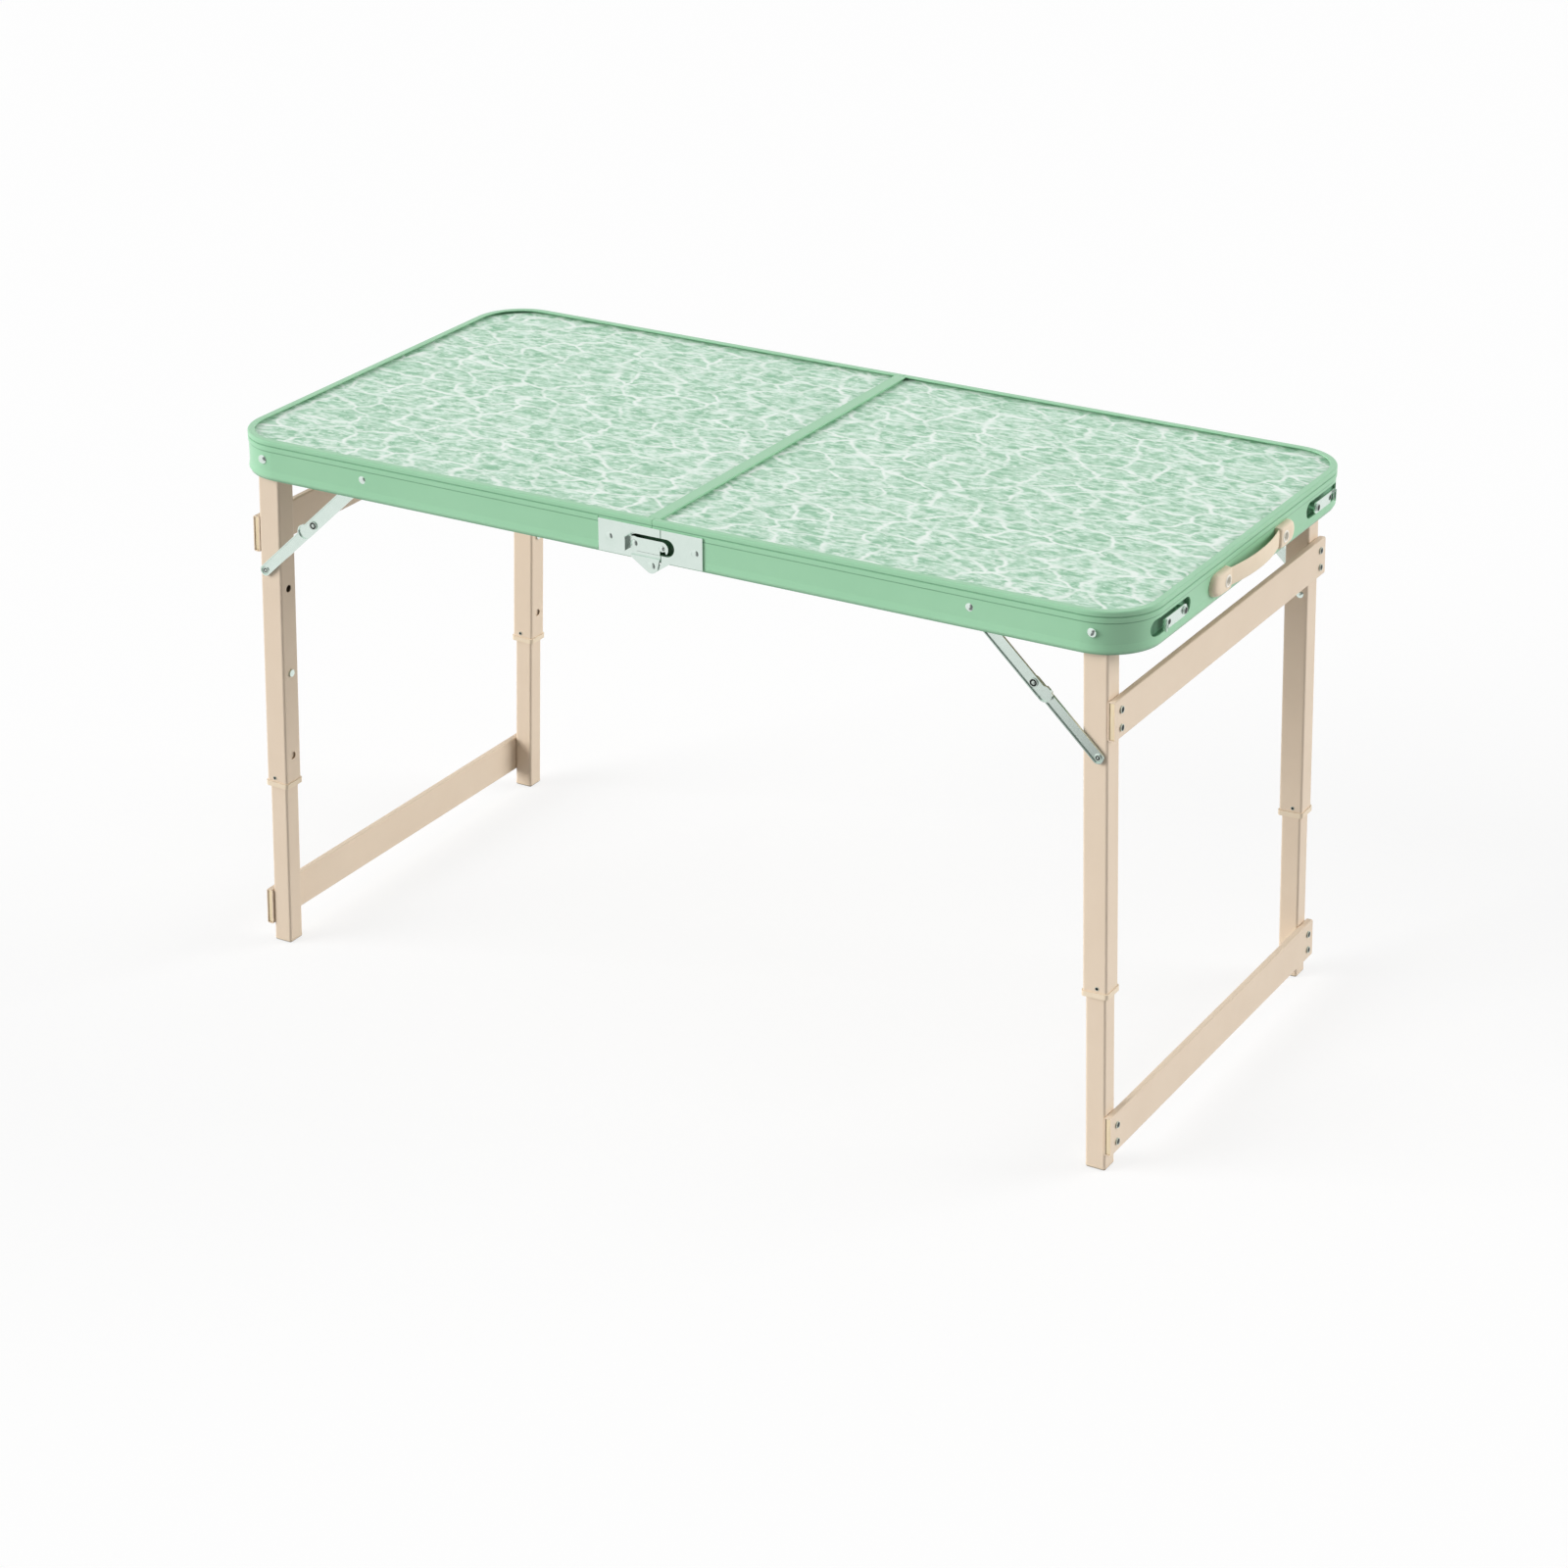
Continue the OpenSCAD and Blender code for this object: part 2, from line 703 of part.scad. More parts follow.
// post that stands on the recess's floor and carries the latch clear of the bead
module latch_post() {
    post_base = half_l - rim_wall - pocket_depth + pocket_wall;
    translate([0, -latch_y, rim_z + latch_z]) {
        facing_end(post_base)
            cylinder(r = latch_pin_r + head_rim, h = latch_x - side_play - post_base);
        facing_end(latch_x - side_play)
            cylinder(r = latch_pin_r, h = hook_t + 2 * side_play);
        facing_end(latch_x + hook_t + side_play) dome(latch_pin_r + head_rim, catch_dome);
    }
}

module catch_stud() {
    grip = catch_x - half_l + rim_wall;
    translate([0, -latch_y, rim_z + catch_z]) facing_end(catch_x)
        rivet(latch_pin_r + head_rim, catch_dome, latch_pin_r, grip, latch_pin_r + tail_rim);
}

// Centre hinges and hooks

function on_knuckle(angle) = [knuckle_r * cos(angle), hinge_z + knuckle_r * sin(angle)];

// left plate, drawn in true X: it laps over the right rim and has the joggled front lug
module left_plate() {
    facing_front(half_w) {
        linear_extrude(plate_t) difference() {
            translate([-left_plate_len, plate_z]) square([left_plate_len + plate_seam, plate_h]);
            window_shape();
            translate([0, hinge_z]) circle(knuckle_r + knuckle_clear);
            translate([-plate_rivet_x, rim_z + plate_rivet_z]) circle(brace_pin_r);
        }
        translate([0, 0, plate_t]) linear_extrude(plate_t) difference() {
            union() {
                translate([0, hinge_z]) circle(knuckle_r);
                polygon([
                    [-lug_left, plate_z + lug_lap],
                    [-lug_left, plate_z + lug_edge],
                    on_knuckle(left_lug_arc[0]),
                    on_knuckle(left_lug_arc[1]),
                    [plate_seam, plate_z + lug_lap]
                ]);
            }
            translate([0, hinge_z]) circle(hinge_pin_r);
        }
    }
}

// right plate with its lug, which turns behind the left one
module right_plate() {
    start_x = plate_seam + plate_gap;
    facing_front(half_w) linear_extrude(plate_t) difference() {
        union() {
            translate([start_x, plate_z]) square([right_plate_len - start_x, plate_h]);
            translate([0, hinge_z]) circle(knuckle_r);
            polygon([
                [start_x, plate_z + plate_gap],
                [start_x, plate_z - plate_gap],
                on_knuckle(right_lug_arc[1]),
                on_knuckle(right_lug_arc[0]),
                [lug_right, plate_z],
                [lug_right, plate_z + plate_gap]
            ]);
        }
        window_shape();
        translate([0, hinge_z]) circle(hinge_pin_r + pin_play);
        translate([plate_rivet_x, rim_z + plate_rivet_z]) circle(brace_pin_r);
    }
}

// half of the sheet pocket behind the window, from the fold line outward
module hook_pocket() {
    facing_front(rim_in_y - pocket_depth) intersection() {
        difference() {
            linear_extrude(pocket_depth) window_shape(2 * pocket_wall);
            translate([0, 0, pocket_wall]) linear_extrude(pocket_depth) window_shape(pocket_wall);
        }
        translate([seam_gap / 2, rim_z, 0]) cube([window_len, rim_h, pocket_depth]);
    }
}

// hook bar in true X: a round eye at the pivot, a notch over the stud and a thumb tab
module hook() {
    z = rim_z + hook_z;
    notch = hook_stud_r + hook_play;
    tab_x = -hook_pivot_x - hook_eye_r - tab_gap;
    facing_front(hook_y) {
        linear_extrude(hook_t) difference() {
            union() {
                translate([-hook_pivot_x, z]) circle(hook_eye_r);
                translate([-hook_pivot_x, z]) slot(hook_pivot_x + hook_stud_x, hook_h);
                translate([tab_x, z - hook_h / 2]) square([hook_eye_r, hook_h]);
            }
            translate([-hook_pivot_x, z]) circle(hook_pin_r + pin_play);
            translate([hook_stud_x, z]) circle(notch);
            polygon([
                [hook_stud_x - notch, z],
                [hook_stud_x + notch, z],
                [hook_stud_x + notch + hook_h * tan(notch_slope), z - hook_h],
                [hook_stud_x - notch, z - hook_h]
            ]);
        }
        translate([tab_x, z - hook_h / 2, 0]) cube([hook_t, hook_h, hook_t + tab_out]);
    }
}

// End latches

// swinging latch plate, drawn at the front latch
module latch() {
    z = rim_z + latch_z;
    notch = latch_pin_r + hook_play;
    end_y = latch_y + latch_reach + notch + latch_tip + hook_t;
    facing_end(latch_x) {
        linear_extrude(hook_t) difference() {
            union() {
                translate([-latch_y, z]) circle(d = latch_h);
                translate([-end_y, z - latch_h / 2]) square([end_y - latch_y, latch_h]);
            }
            translate([-latch_y, z]) circle(latch_pin_r + pin_play);
            translate([-latch_y - latch_reach, z]) circle(notch);
            translate([-latch_y - latch_reach - notch, z - latch_h]) square([2 * notch, latch_h]);
        }
        translate([-end_y, z - latch_h / 2, 0]) cube([hook_t, latch_h, hook_t + latch_tab_out]);
    }
}

// sheet pocket behind the recess of the front latch
module latch_pocket() {
    difference() {
        facing_end(half_l - rim_wall - pocket_depth) difference() {
            linear_extrude(pocket_depth) recess_shape(2 * pocket_wall);
            translate([0, 0, pocket_wall]) linear_extrude(pocket_depth) recess_shape(pocket_wall);
        }
        // past the start of the rim's round corner the sheet is trimmed to the wall
        difference() {
            translate([half_l - corner_r, -half_w, rim_z]) cube([corner_r, corner_r, rim_h]);
            corner_core(corner_r - rim_wall);
        }
    }
}

// Carrying handle

// bowed strap, as a stretch of a large ring; grow widens it into the pads' cavities
module strap(half_len, grow = 0) {
    spread = asin(half_len / strap_r);
    translate([half_l + handle_out - strap_r, 0, rim_z + handle_z])
        rotate([0, 0, -spread]) rotate_extrude(angle = 2 * spread, $fn = large_fn)
        translate([strap_r - strap_t / 2, 0])
        square([strap_t + 2 * grow, strap_h + 2 * grow], center = true);
}

// moulded pad over a strap end: round at its outer end, crowned in front, notched over the hem
module handle_pad() {
    z = rim_z + handle_z;
    difference() {
        intersection() {
            facing_end(half_l) linear_extrude(pad_t) {
                translate([-pad_start - pad_len, z - pad_h / 2]) square([pad_len, pad_h]);
                translate([-pad_start - pad_len, z]) circle(d = pad_h);
            }
            translate([half_l + pad_t - pad_crown_r, -screw_y, rim_z])
                cylinder(r = pad_crown_r, h = rim_h, $fn = large_fn);
        }
        rim_end();
        strap(strap_half + handle_play, handle_play);
        facing_end(half_l + pad_t / 2) translate([-screw_y, z])
            cylinder(r = screw_head_r + handle_play, h = pad_t);
        facing_end(half_l - overcut) translate([-screw_y, z]) cylinder(r = screw_r, h = pad_t);
    }
}

module handle_screw() {
    translate([0, -screw_y, rim_z + handle_z])
        facing_end(half_l + pad_t / 2)
        rivet(screw_head_r, screw_dome, screw_r, pad_t / 2 + rim_wall, screw_r + tail_rim);
}

// Leg frames

// upper tube of the front leg, round at its top, with the pivot bore and three setting holes
module upper_leg() {
    on_leg() translate([0, -leg_y, 0]) difference() {
        intersection() {
            translate([0, 0, -upper_len]) square_tube(upper_w, upper_len + upper_w / 2);
            union() {
                rotate([90, 0, 0]) cylinder(d = upper_w, h = 2 * upper_w, center = true);
                translate([-upper_w, -upper_w, -upper_len])
                    cube([2 * upper_w, 2 * upper_w, upper_len]);
            }
        }
        rotate([90, 0, 0]) cylinder(r = bolt_r + pin_play, h = 2 * upper_w, center = true);
        translate([brace_offset, 0, -brace_reach])
            rotate([90, 0, 0]) cylinder(r = brace_pin_r, h = 2 * upper_w, center = true);
        for (step = [-1:1])
            translate([-upper_w, 0, -button_at - step * hole_pitch])
                rotate([0, 90, 0]) cylinder(r = button_r + button_play, h = upper_w);
        for (row = [0, 1])
            translate([0, 0, -upper_rivet_at - row * bar_rivet_pitch])
                rotate([0, 90, 0]) cylinder(r = bar_rivet_r, h = upper_w);
        translate([pip_offset, 0, -pip_at])
            rotate([90, 0, 0]) cylinder(r = pip_r, h = 2 * upper_w, center = true);
    }
}

// lower tube of the front leg, with the hole for its spring button
module lower_leg() {
    on_leg() translate([0, -leg_y, 0]) difference() {
        translate([0, 0, foot_base - leg_run]) square_tube(lower_w, leg_run - foot_base - lower_start);
        translate([-lower_w, 0, -button_at])
            rotate([0, 90, 0]) cylinder(r = button_r + button_play, h = lower_w);
        for (row = [0, 1])
            translate([0, 0, -lower_rivet_at - row * bar_rivet_pitch])
                rotate([0, 90, 0]) cylinder(r = bar_rivet_r, h = lower_w);
    }
}

module bar_bore(width, len) {
    linear_extrude(len) round_rect(bar_t - 2 * bar_wall, width - 2 * bar_wall, bar_r - bar_wall);
}

// flat tube across the outer faces of two legs, with a plug inside each end
module flat_bar(face, start, width, rivet_at) {
    plug_at = bar_wide / 2 - bar_plug_in;
    on_leg() difference() {
        translate([face + bar_t / 2, 0, -start - width / 2]) rotate([90, 0, 0]) difference() {
            linear_extrude(bar_wide, center = true) round_rect(bar_t, width, bar_r);
            translate([0, 0, bar_plug_t - plug_at]) bar_bore(width, 2 * (plug_at - bar_plug_t));
            for (end = [0, 1])
                mirror([0, 0, end]) translate([0, 0, plug_at]) bar_bore(width, bar_plug_in + overcut);
        }
        for (side = [-1, 1], row = [0, 1])
            translate([face - overcut, side * leg_y, -rivet_at - row * bar_rivet_pitch])
                rotate([0, 90, 0]) cylinder(r = bar_rivet_r, h = bar_t + 2 * overcut);
    }
}

// rivets that hold a flat tube to the front leg
module bar_rivets(face, rivet_at) {
    for (row = [0, 1])
        on_leg() translate([face + bar_t, -leg_y, -rivet_at - row * bar_rivet_pitch])
            rotate([0, 90, 0])
            rivet(bar_rivet_head, rivet_dome, bar_rivet_r, bar_t + tube_wall, bar_rivet_head);
}

// seat of the lower brace pivot in the front leg: flush in the outer wall, a head inside the frame
module brace_seat() {
    on_leg() translate([brace_offset, 0, -brace_reach]) {
        facing_front(leg_face_y - tube_wall) cylinder(r = brace_pin_r, h = tube_wall);
        facing_front(leg_face_y - upper_w) cylinder(r = brace_pin_r, h = tube_wall);
        translate([0, upper_w - leg_face_y, 0]) rotate([-90, 0, 0]) dome(brace_head_r, rivet_dome);
    }
}

// collar below the upper tube, with its sleeve and the two pips that hold it
module collar() {
    hole = lower_w + 2 * slide_play;
    on_leg() translate([0, -leg_y, 0]) {
        translate([0, 0, -upper_len - collar_h]) linear_extrude(collar_h) difference() {
            round_rect(collar_w, collar_w, moulding_r);
            round_rect(hole, hole, tube_r + slide_play);
        }
        translate([0, 0, -upper_len]) linear_extrude(sleeve_len) difference() {
            round_rect(upper_in, upper_in, tube_r - tube_wall);
            round_rect(hole, hole, tube_r + slide_play);
        }
        translate([pip_offset, 0, -pip_at]) for (side = [-1, 1])
            translate([0, side * upper_in / 2, 0]) rotate([-90 * side, 0, 0])
            cylinder(r = pip_r, h = tube_wall + pip_out);
    }
}

// plug in the top of the lower tube that guides it in the upper one
module guide_plug() {
    head = upper_in - 2 * plug_play;
    on_leg() translate([0, -leg_y, -lower_start]) {
        linear_extrude(plug_h) round_rect(head, head, tube_r - tube_wall);
        translate([0, 0, -plug_in]) linear_extrude(plug_in)
            round_rect(lower_in, lower_in, tube_r - tube_wall);
    }
}

// moulded foot over the tube's end, cut level with the ground
module foot_cap() {
    difference() {
        on_leg() translate([0, -leg_y, -leg_run - foot_w]) difference() {
            linear_extrude(foot_w + foot_h) round_rect(foot_w, foot_w, moulding_r);
            translate([0, 0, foot_w + foot_base]) linear_extrude(foot_h)
                round_rect(lower_w, lower_w, tube_r);
        }
        translate([0, -half_w, -3 * foot_w]) cube([half_l + foot_w, half_w, 3 * foot_w]);
    }
}

// spring button: the button's shank with a bent leaf behind it that presses on the far wall
module spring_button() {
    floor_x = -lower_in / 2;
    bend = leaf_len - leaf_t;
    on_leg() translate([0, -leg_y, -button_at]) {
        translate([-upper_w / 2 - button_out, 0, 0]) rotate([0, 90, 0])
            cylinder(r = button_r, h = upper_w / 2 + button_out + floor_x);
        translate([0, leaf_w / 2, 0]) rotate([90, 0, 0]) linear_extrude(leaf_w) polygon([
            [floor_x, button_r + leaf_rise],
            [floor_x, -button_r],
            [0, -leaf_len],
            [-floor_x, -button_r],
            [-floor_x, button_r + leaf_rise],
            [-floor_x - leaf_t, button_r + leaf_rise],
            [-floor_x - leaf_t, -button_r],
            [0, -bend + leaf_t],
            [floor_x + leaf_t, -button_r],
            [floor_x + leaf_t, button_r + leaf_rise]
        ]);
    }
}

// Braces

// link frame: the first pivot is the origin, +X runs along the link, +Z to the table's corner
module on_brace(along) {
    translate([brace_x, 0, pivot_z]) rotate([0, link_tilt, 0]) translate([along, 0, 0]) children();
}

module upper_link_outline(inset) {
    slot(link_len + stop_reach - stop_r / 2, upper_link_w - 2 * inset);
    translate([link_len + stop_reach, stop_offset]) circle(stop_r - inset);
}

// pressed channel from the rim to the middle pivot, with the stop past it and the middle rivet
module upper_link() {
    on_brace(0) {
        facing_front(upper_link_y) difference() {
            linear_extrude(link_depth) upper_link_outline(0);
            translate([0, 0, link_wall]) linear_extrude(link_depth) upper_link_outline(link_wall);
            translate([0, 0, -overcut]) cylinder(r = brace_pin_r + pin_play, h = link_depth);
        }
        translate([link_len + stop_reach - stop_tab / 2, -upper_link_y, lower_link_w / 2 + stop_play])
            cube([stop_tab, link_depth + link_play, link_wall]);
    }
    on_brace(link_len) {
        facing_front(upper_link_y + link_wall) dome(brace_head_r, brace_dome);
        facing_front(lower_link_y) cylinder(r = brace_pin_r, h = link_depth + link_play);
        facing_front(leg_face_y + side_play) cylinder(r = brace_head_r, h = link_head_t);
        facing_front(leg_face_y + side_play + link_head_t)
            cylinder(r = brace_pin_r, h = shank_out);
    }
}

// pressed channel from the middle pivot to the leg, with the rivet of its lower pivot
module lower_link() {
    on_brace(link_len) facing_front(lower_link_y) difference() {
        linear_extrude(link_depth) slot(link_len, lower_link_w);
        translate([0, 0, link_wall]) linear_extrude(link_depth)
            slot(link_len, lower_link_w - 2 * link_wall);
        translate([0, 0, -overcut]) cylinder(r = brace_pin_r + pin_play, h = link_depth);
    }
    on_brace(2 * link_len) {
        facing_front(lower_link_y + link_wall) dome(brace_head_r, brace_dome);
        facing_front(leg_face_y + side_play)
            cylinder(r = brace_pin_r, h = lower_link_y - leg_face_y - side_play);
    }
}

// Left half of the top

module left_rim() { color(rim_green) on_left() half_rim(false); }
module left_centre_rail() {
    color(rim_green) on_left() {
        fold_rail(top_height - lip_t);
        cover_strip();
    }
}
module left_panel() { color(panel_green) on_left() half_panel(); }
module left_stiffener() { color(steel) on_left() stiffener(); }
module left_leg_bolts() { color(steel) on_left() front_and_back() leg_bolt(); }
module left_rim_rivets() {
    color(steel) {
        on_left() front_and_back() {
            brace_rivet();
            plate_rivet();
        }
        on_right() front_and_back() {
            hinge_pin();
            hook_post(-hook_pivot_x, hook_pin_r);
        }
    }
}
module left_hinge_plates() { color(steel) on_right() front_and_back() left_plate(); }
module left_hook_pockets() { color(cup_green) on_left() front_and_back() hook_pocket(); }
module catch_studs() { color(steel) on_left() front_and_back() catch_stud(); }

// Right half of the top

module right_rim() { color(rim_green) on_right() half_rim(true); }
module right_centre_rail() {
    color(rim_green) on_right() fold_rail(top_height - lip_t - cover_play);
}
module right_panel() { color(panel_green) on_right() half_panel(); }
module right_stiffener() { color(steel) on_right() stiffener(); }
module right_leg_bolts() { color(steel) on_right() front_and_back() leg_bolt(); }
module right_rim_rivets() {
    color(steel) on_right() front_and_back() {
        brace_rivet();
        plate_rivet();
        hook_post(hook_stud_x, hook_stud_r);
        latch_post();
    }
}
module right_hinge_plates() { color(steel) on_right() front_and_back() right_plate(); }
module right_hook_pockets() { color(cup_green) on_right() front_and_back() hook_pocket(); }
module latch_pockets() { color(cup_green) on_right() front_and_back() latch_pocket(); }
module handle_strap() { color(leg_beige) on_right() strap(strap_half); }
module handle_pads() { color(leg_beige) on_right() front_and_back() handle_pad(); }
module handle_screws() { color(steel) on_right() front_and_back() handle_screw(); }

// Left leg frame

module left_front_upper_leg() { color(leg_beige) on_left() upper_leg(); }
module left_back_upper_leg() { color(leg_beige) on_left() at_back() upper_leg(); }
module left_upper_bar() {
    color(leg_beige) on_left() flat_bar(upper_w / 2, upper_bar_at, upper_bar_w, upper_rivet_at);
}
module left_collars() { color(leg_beige) on_left() front_and_back() collar(); }
module left_upper_rivets() { color(steel) on_left() front_and_back() upper_rivets(); }
module left_front_lower_leg() { color(leg_beige) on_left() lower_leg(); }
module left_back_lower_leg() { color(leg_beige) on_left() at_back() lower_leg(); }
module left_lower_bar() {
    color(leg_beige) on_left() flat_bar(lower_w / 2, lower_bar_at, lower_bar_w, lower_rivet_at);
}
module left_foot_caps() { color(leg_beige) on_left() front_and_back() foot_cap(); }
module left_guide_plugs() { color(end_grey) on_left() front_and_back() guide_plug(); }
module left_lower_rivets() {
    color(steel) on_left() front_and_back() bar_rivets(lower_w / 2, lower_rivet_at);
}

module upper_rivets() {
    bar_rivets(upper_w / 2, upper_rivet_at);
    brace_seat();
}

// Right leg frame

module right_front_upper_leg() { color(leg_beige) on_right() upper_leg(); }
module right_back_upper_leg() { color(leg_beige) on_right() at_back() upper_leg(); }
module right_upper_bar() {
    color(leg_beige) on_right() flat_bar(upper_w / 2, upper_bar_at, upper_bar_w, upper_rivet_at);
}
module right_collars() { color(leg_beige) on_right() front_and_back() collar(); }
module right_upper_rivets() { color(steel) on_right() front_and_back() upper_rivets(); }
module right_front_lower_leg() { color(leg_beige) on_right() lower_leg(); }
module right_back_lower_leg() { color(leg_beige) on_right() at_back() lower_leg(); }
module right_lower_bar() {
    color(leg_beige) on_right() flat_bar(lower_w / 2, lower_bar_at, lower_bar_w, lower_rivet_at);
}
module right_foot_caps() { color(leg_beige) on_right() front_and_back() foot_cap(); }
module right_guide_plugs() { color(end_grey) on_right() front_and_back() guide_plug(); }
module right_lower_rivets() {
    color(steel) on_right() front_and_back() bar_rivets(lower_w / 2, lower_rivet_at);
}

// Brace links

module left_front_upper_link() { color(steel) on_left() upper_link(); }
module left_front_lower_link() { color(steel) on_left() lower_link(); }
module left_back_upper_link() { color(steel) on_left() at_back() upper_link(); }
module left_back_lower_link() { color(steel) on_left() at_back() lower_link(); }
module right_front_upper_link() { color(steel) on_right() upper_link(); }
module right_front_lower_link() { color(steel) on_right() lower_link(); }
module right_back_upper_link() { color(steel) on_right() at_back() upper_link(); }
module right_back_lower_link() { color(steel) on_right() at_back() lower_link(); }

// Hooks, latches and buttons

module front_hook() { color(steel) on_right() hook(); }
module back_hook() { color(steel) on_right() at_back() hook(); }
module front_latch() { color(steel) on_right() latch(); }
module back_latch() { color(steel) on_right() at_back() latch(); }
module left_front_button() { color(steel) on_left() spring_button(); }
module left_back_button() { color(steel) on_left() at_back() spring_button(); }
module right_front_button() { color(steel) on_right() spring_button(); }
module right_back_button() { color(steel) on_right() at_back() spring_button(); }

left_rim();
left_centre_rail();
left_panel();
left_stiffener();
left_leg_bolts();
left_rim_rivets();
left_hinge_plates();
left_hook_pockets();
catch_studs();
right_rim();
right_centre_rail();
right_panel();
right_stiffener();
right_leg_bolts();
right_rim_rivets();
right_hinge_plates();
right_hook_pockets();
latch_pockets();
handle_strap();
handle_pads();
handle_screws();
left_front_upper_leg();
left_back_upper_leg();
left_upper_bar();
left_collars();
left_upper_rivets();
left_front_lower_leg();
left_back_lower_leg();
left_lower_bar();
left_foot_caps();
left_guide_plugs();
left_lower_rivets();
right_front_upper_leg();
right_back_upper_leg();
right_upper_bar();
right_collars();
right_upper_rivets();
right_front_lower_leg();
right_back_lower_leg();
right_lower_bar();
right_foot_caps();
right_guide_plugs();
right_lower_rivets();
left_front_upper_link();
left_front_lower_link();
left_back_upper_link();
left_back_lower_link();
right_front_upper_link();
right_front_lower_link();
right_back_upper_link();
right_back_lower_link();
front_hook();
back_hook();
front_latch();
back_latch();
left_front_button();
left_back_button();
right_front_button();
right_back_button();
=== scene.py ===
import math

import bmesh
import bpy
import numpy as np
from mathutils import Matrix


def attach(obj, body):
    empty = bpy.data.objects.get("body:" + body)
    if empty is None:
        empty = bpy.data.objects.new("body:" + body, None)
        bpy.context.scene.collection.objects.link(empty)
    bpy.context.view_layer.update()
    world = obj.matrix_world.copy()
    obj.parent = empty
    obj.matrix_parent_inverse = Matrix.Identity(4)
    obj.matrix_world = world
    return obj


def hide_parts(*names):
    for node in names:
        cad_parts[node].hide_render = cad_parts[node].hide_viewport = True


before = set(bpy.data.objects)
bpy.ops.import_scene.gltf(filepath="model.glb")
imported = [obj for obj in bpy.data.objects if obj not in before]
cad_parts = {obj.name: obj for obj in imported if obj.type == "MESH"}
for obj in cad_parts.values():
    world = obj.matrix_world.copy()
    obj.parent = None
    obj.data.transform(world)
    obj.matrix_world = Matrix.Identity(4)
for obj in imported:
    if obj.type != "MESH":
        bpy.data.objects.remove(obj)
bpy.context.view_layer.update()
scene = bpy.context.scene
scene.view_settings.view_transform = "Standard"


# Viewpoint: the table stands on a white studio floor and is seen from above its front
# right corner, through a long lens, under soft light from all sides but one.


class Wire:
    """An output socket. Arithmetic on it adds the Math node that works it out."""

    def __init__(self, paint, socket):
        self.paint = paint
        self.socket = socket

    def __add__(self, other):
        return self.paint.maths("ADD", self, other)

    def __sub__(self, other):
        return self.paint.maths("SUBTRACT", self, other)

    def __rsub__(self, other):
        return self.paint.maths("SUBTRACT", other, self)

    def __mul__(self, other):
        return self.paint.maths("MULTIPLY", self, other)

    __radd__ = __add__
    __rmul__ = __mul__

    def other(self, name):
        """Another output of the same node."""
        return Wire(self.paint, self.socket.node.outputs[name])


class Paint:
    """A node tree that is filled one node at a time."""

    def __init__(self, tree):
        self.tree = tree
        tree.nodes.clear()

    def node(self, kind, settings=None, sockets=None, out=0):
        """Adds a node, sets it up, then fills or links its sockets; gives back one output."""
        made = self.tree.nodes.new(kind)
        for name, value in (settings or {}).items():
            setattr(made, name, value)
        for name, value in (sockets or {}).items():
            if isinstance(value, Wire):
                self.tree.links.new(value.socket, made.inputs[name])
            else:
                made.inputs[name].default_value = value
        return Wire(self, made.outputs[out]) if len(made.outputs) else None

    def maths(self, operation, first, second=0.0):
        """One Math node on two values or links."""
        return self.node("ShaderNodeMath", {"operation": operation}, {0: first, 1: second})

    def vector(self, operation, first, second=(0.0, 0.0, 0.0), out=0):
        """One Vector Math node on two values or links."""
        return self.node("ShaderNodeVectorMath", {"operation": operation}, {0: first, 1: second}, out)

    def mixed(self, factor, first, second):
        """The first colour turning into the second as factor goes from 0 to 1."""
        return self.node("ShaderNodeMix", {"data_type": "RGBA"}, {0: factor, 6: first, 7: second}, 2)

    def step(self, value, low, high):
        """0 below low, 1 above high, and a smooth rise between them."""
        return self.node(
            "ShaderNodeMapRange",
            {"interpolation_type": "SMOOTHSTEP"},
            {"Value": value, "From Min": low, "From Max": high},
        )

    def place(self, scale=(1, 1, 1), shift=(0, 0, 0)):
        """The object's own coordinates in metres, stretched and shifted."""
        coordinates = self.node("ShaderNodeTexCoord").other("Object")
        return self.node(
            "ShaderNodeMapping", None, {"Vector": coordinates, "Scale": scale, "Location": shift}
        )

    def height(self):
        """The height over the ground that a point has at rest."""
        return self.node("ShaderNodeSeparateXYZ", None, {0: self.place()}, 2)

    def along(self):
        """The place from 0 to 1 that a point's row has in its piece's surface."""
        return self.node("ShaderNodeAttribute", {"attribute_name": "along"}, None, "Fac")

    def noise(self, vector, scale, detail=2.0, roughness=0.5, distortion=0.0):
        """Soft noise from 0 to 1 with its middle at a half."""
        return self.node(
            "ShaderNodeTexNoise",
            None,
            {
                "Vector": vector,
                "Scale": scale,
                "Detail": detail,
                "Roughness": roughness,
                "Distortion": distortion,
            },
        )

    def bump(self, height, strength, distance, below=None):
        """The normal of a surface raised by height times distance, on top of another bump."""
        sockets = {"Height": height, "Strength": strength, "Distance": distance}
        if below is not None:
            sockets["Normal"] = below
        return self.node("ShaderNodeBump", None, sockets)


def dark_end(paint, direction, middle, low, high):
    """1 toward the unlit end of the studio, in front of the table's right corner, and 0 away
    from it: how far the cosine of the angle from its middle lies between low and high."""
    return paint.step(paint.vector("DOT_PRODUCT", direction, middle, "Value"), low, high)


camera = bpy.data.objects.new("camera", bpy.data.cameras.new("camera"))
camera.location = (2.1188, -3.6778, 2.1685)
camera.rotation_euler = (math.radians(65.53), 0.0, math.radians(30.02))
camera.data.lens = 86.67
camera.data.sensor_width = 36.0
camera.data.clip_end = 200.0
scene.collection.objects.link(camera)
scene.camera = camera

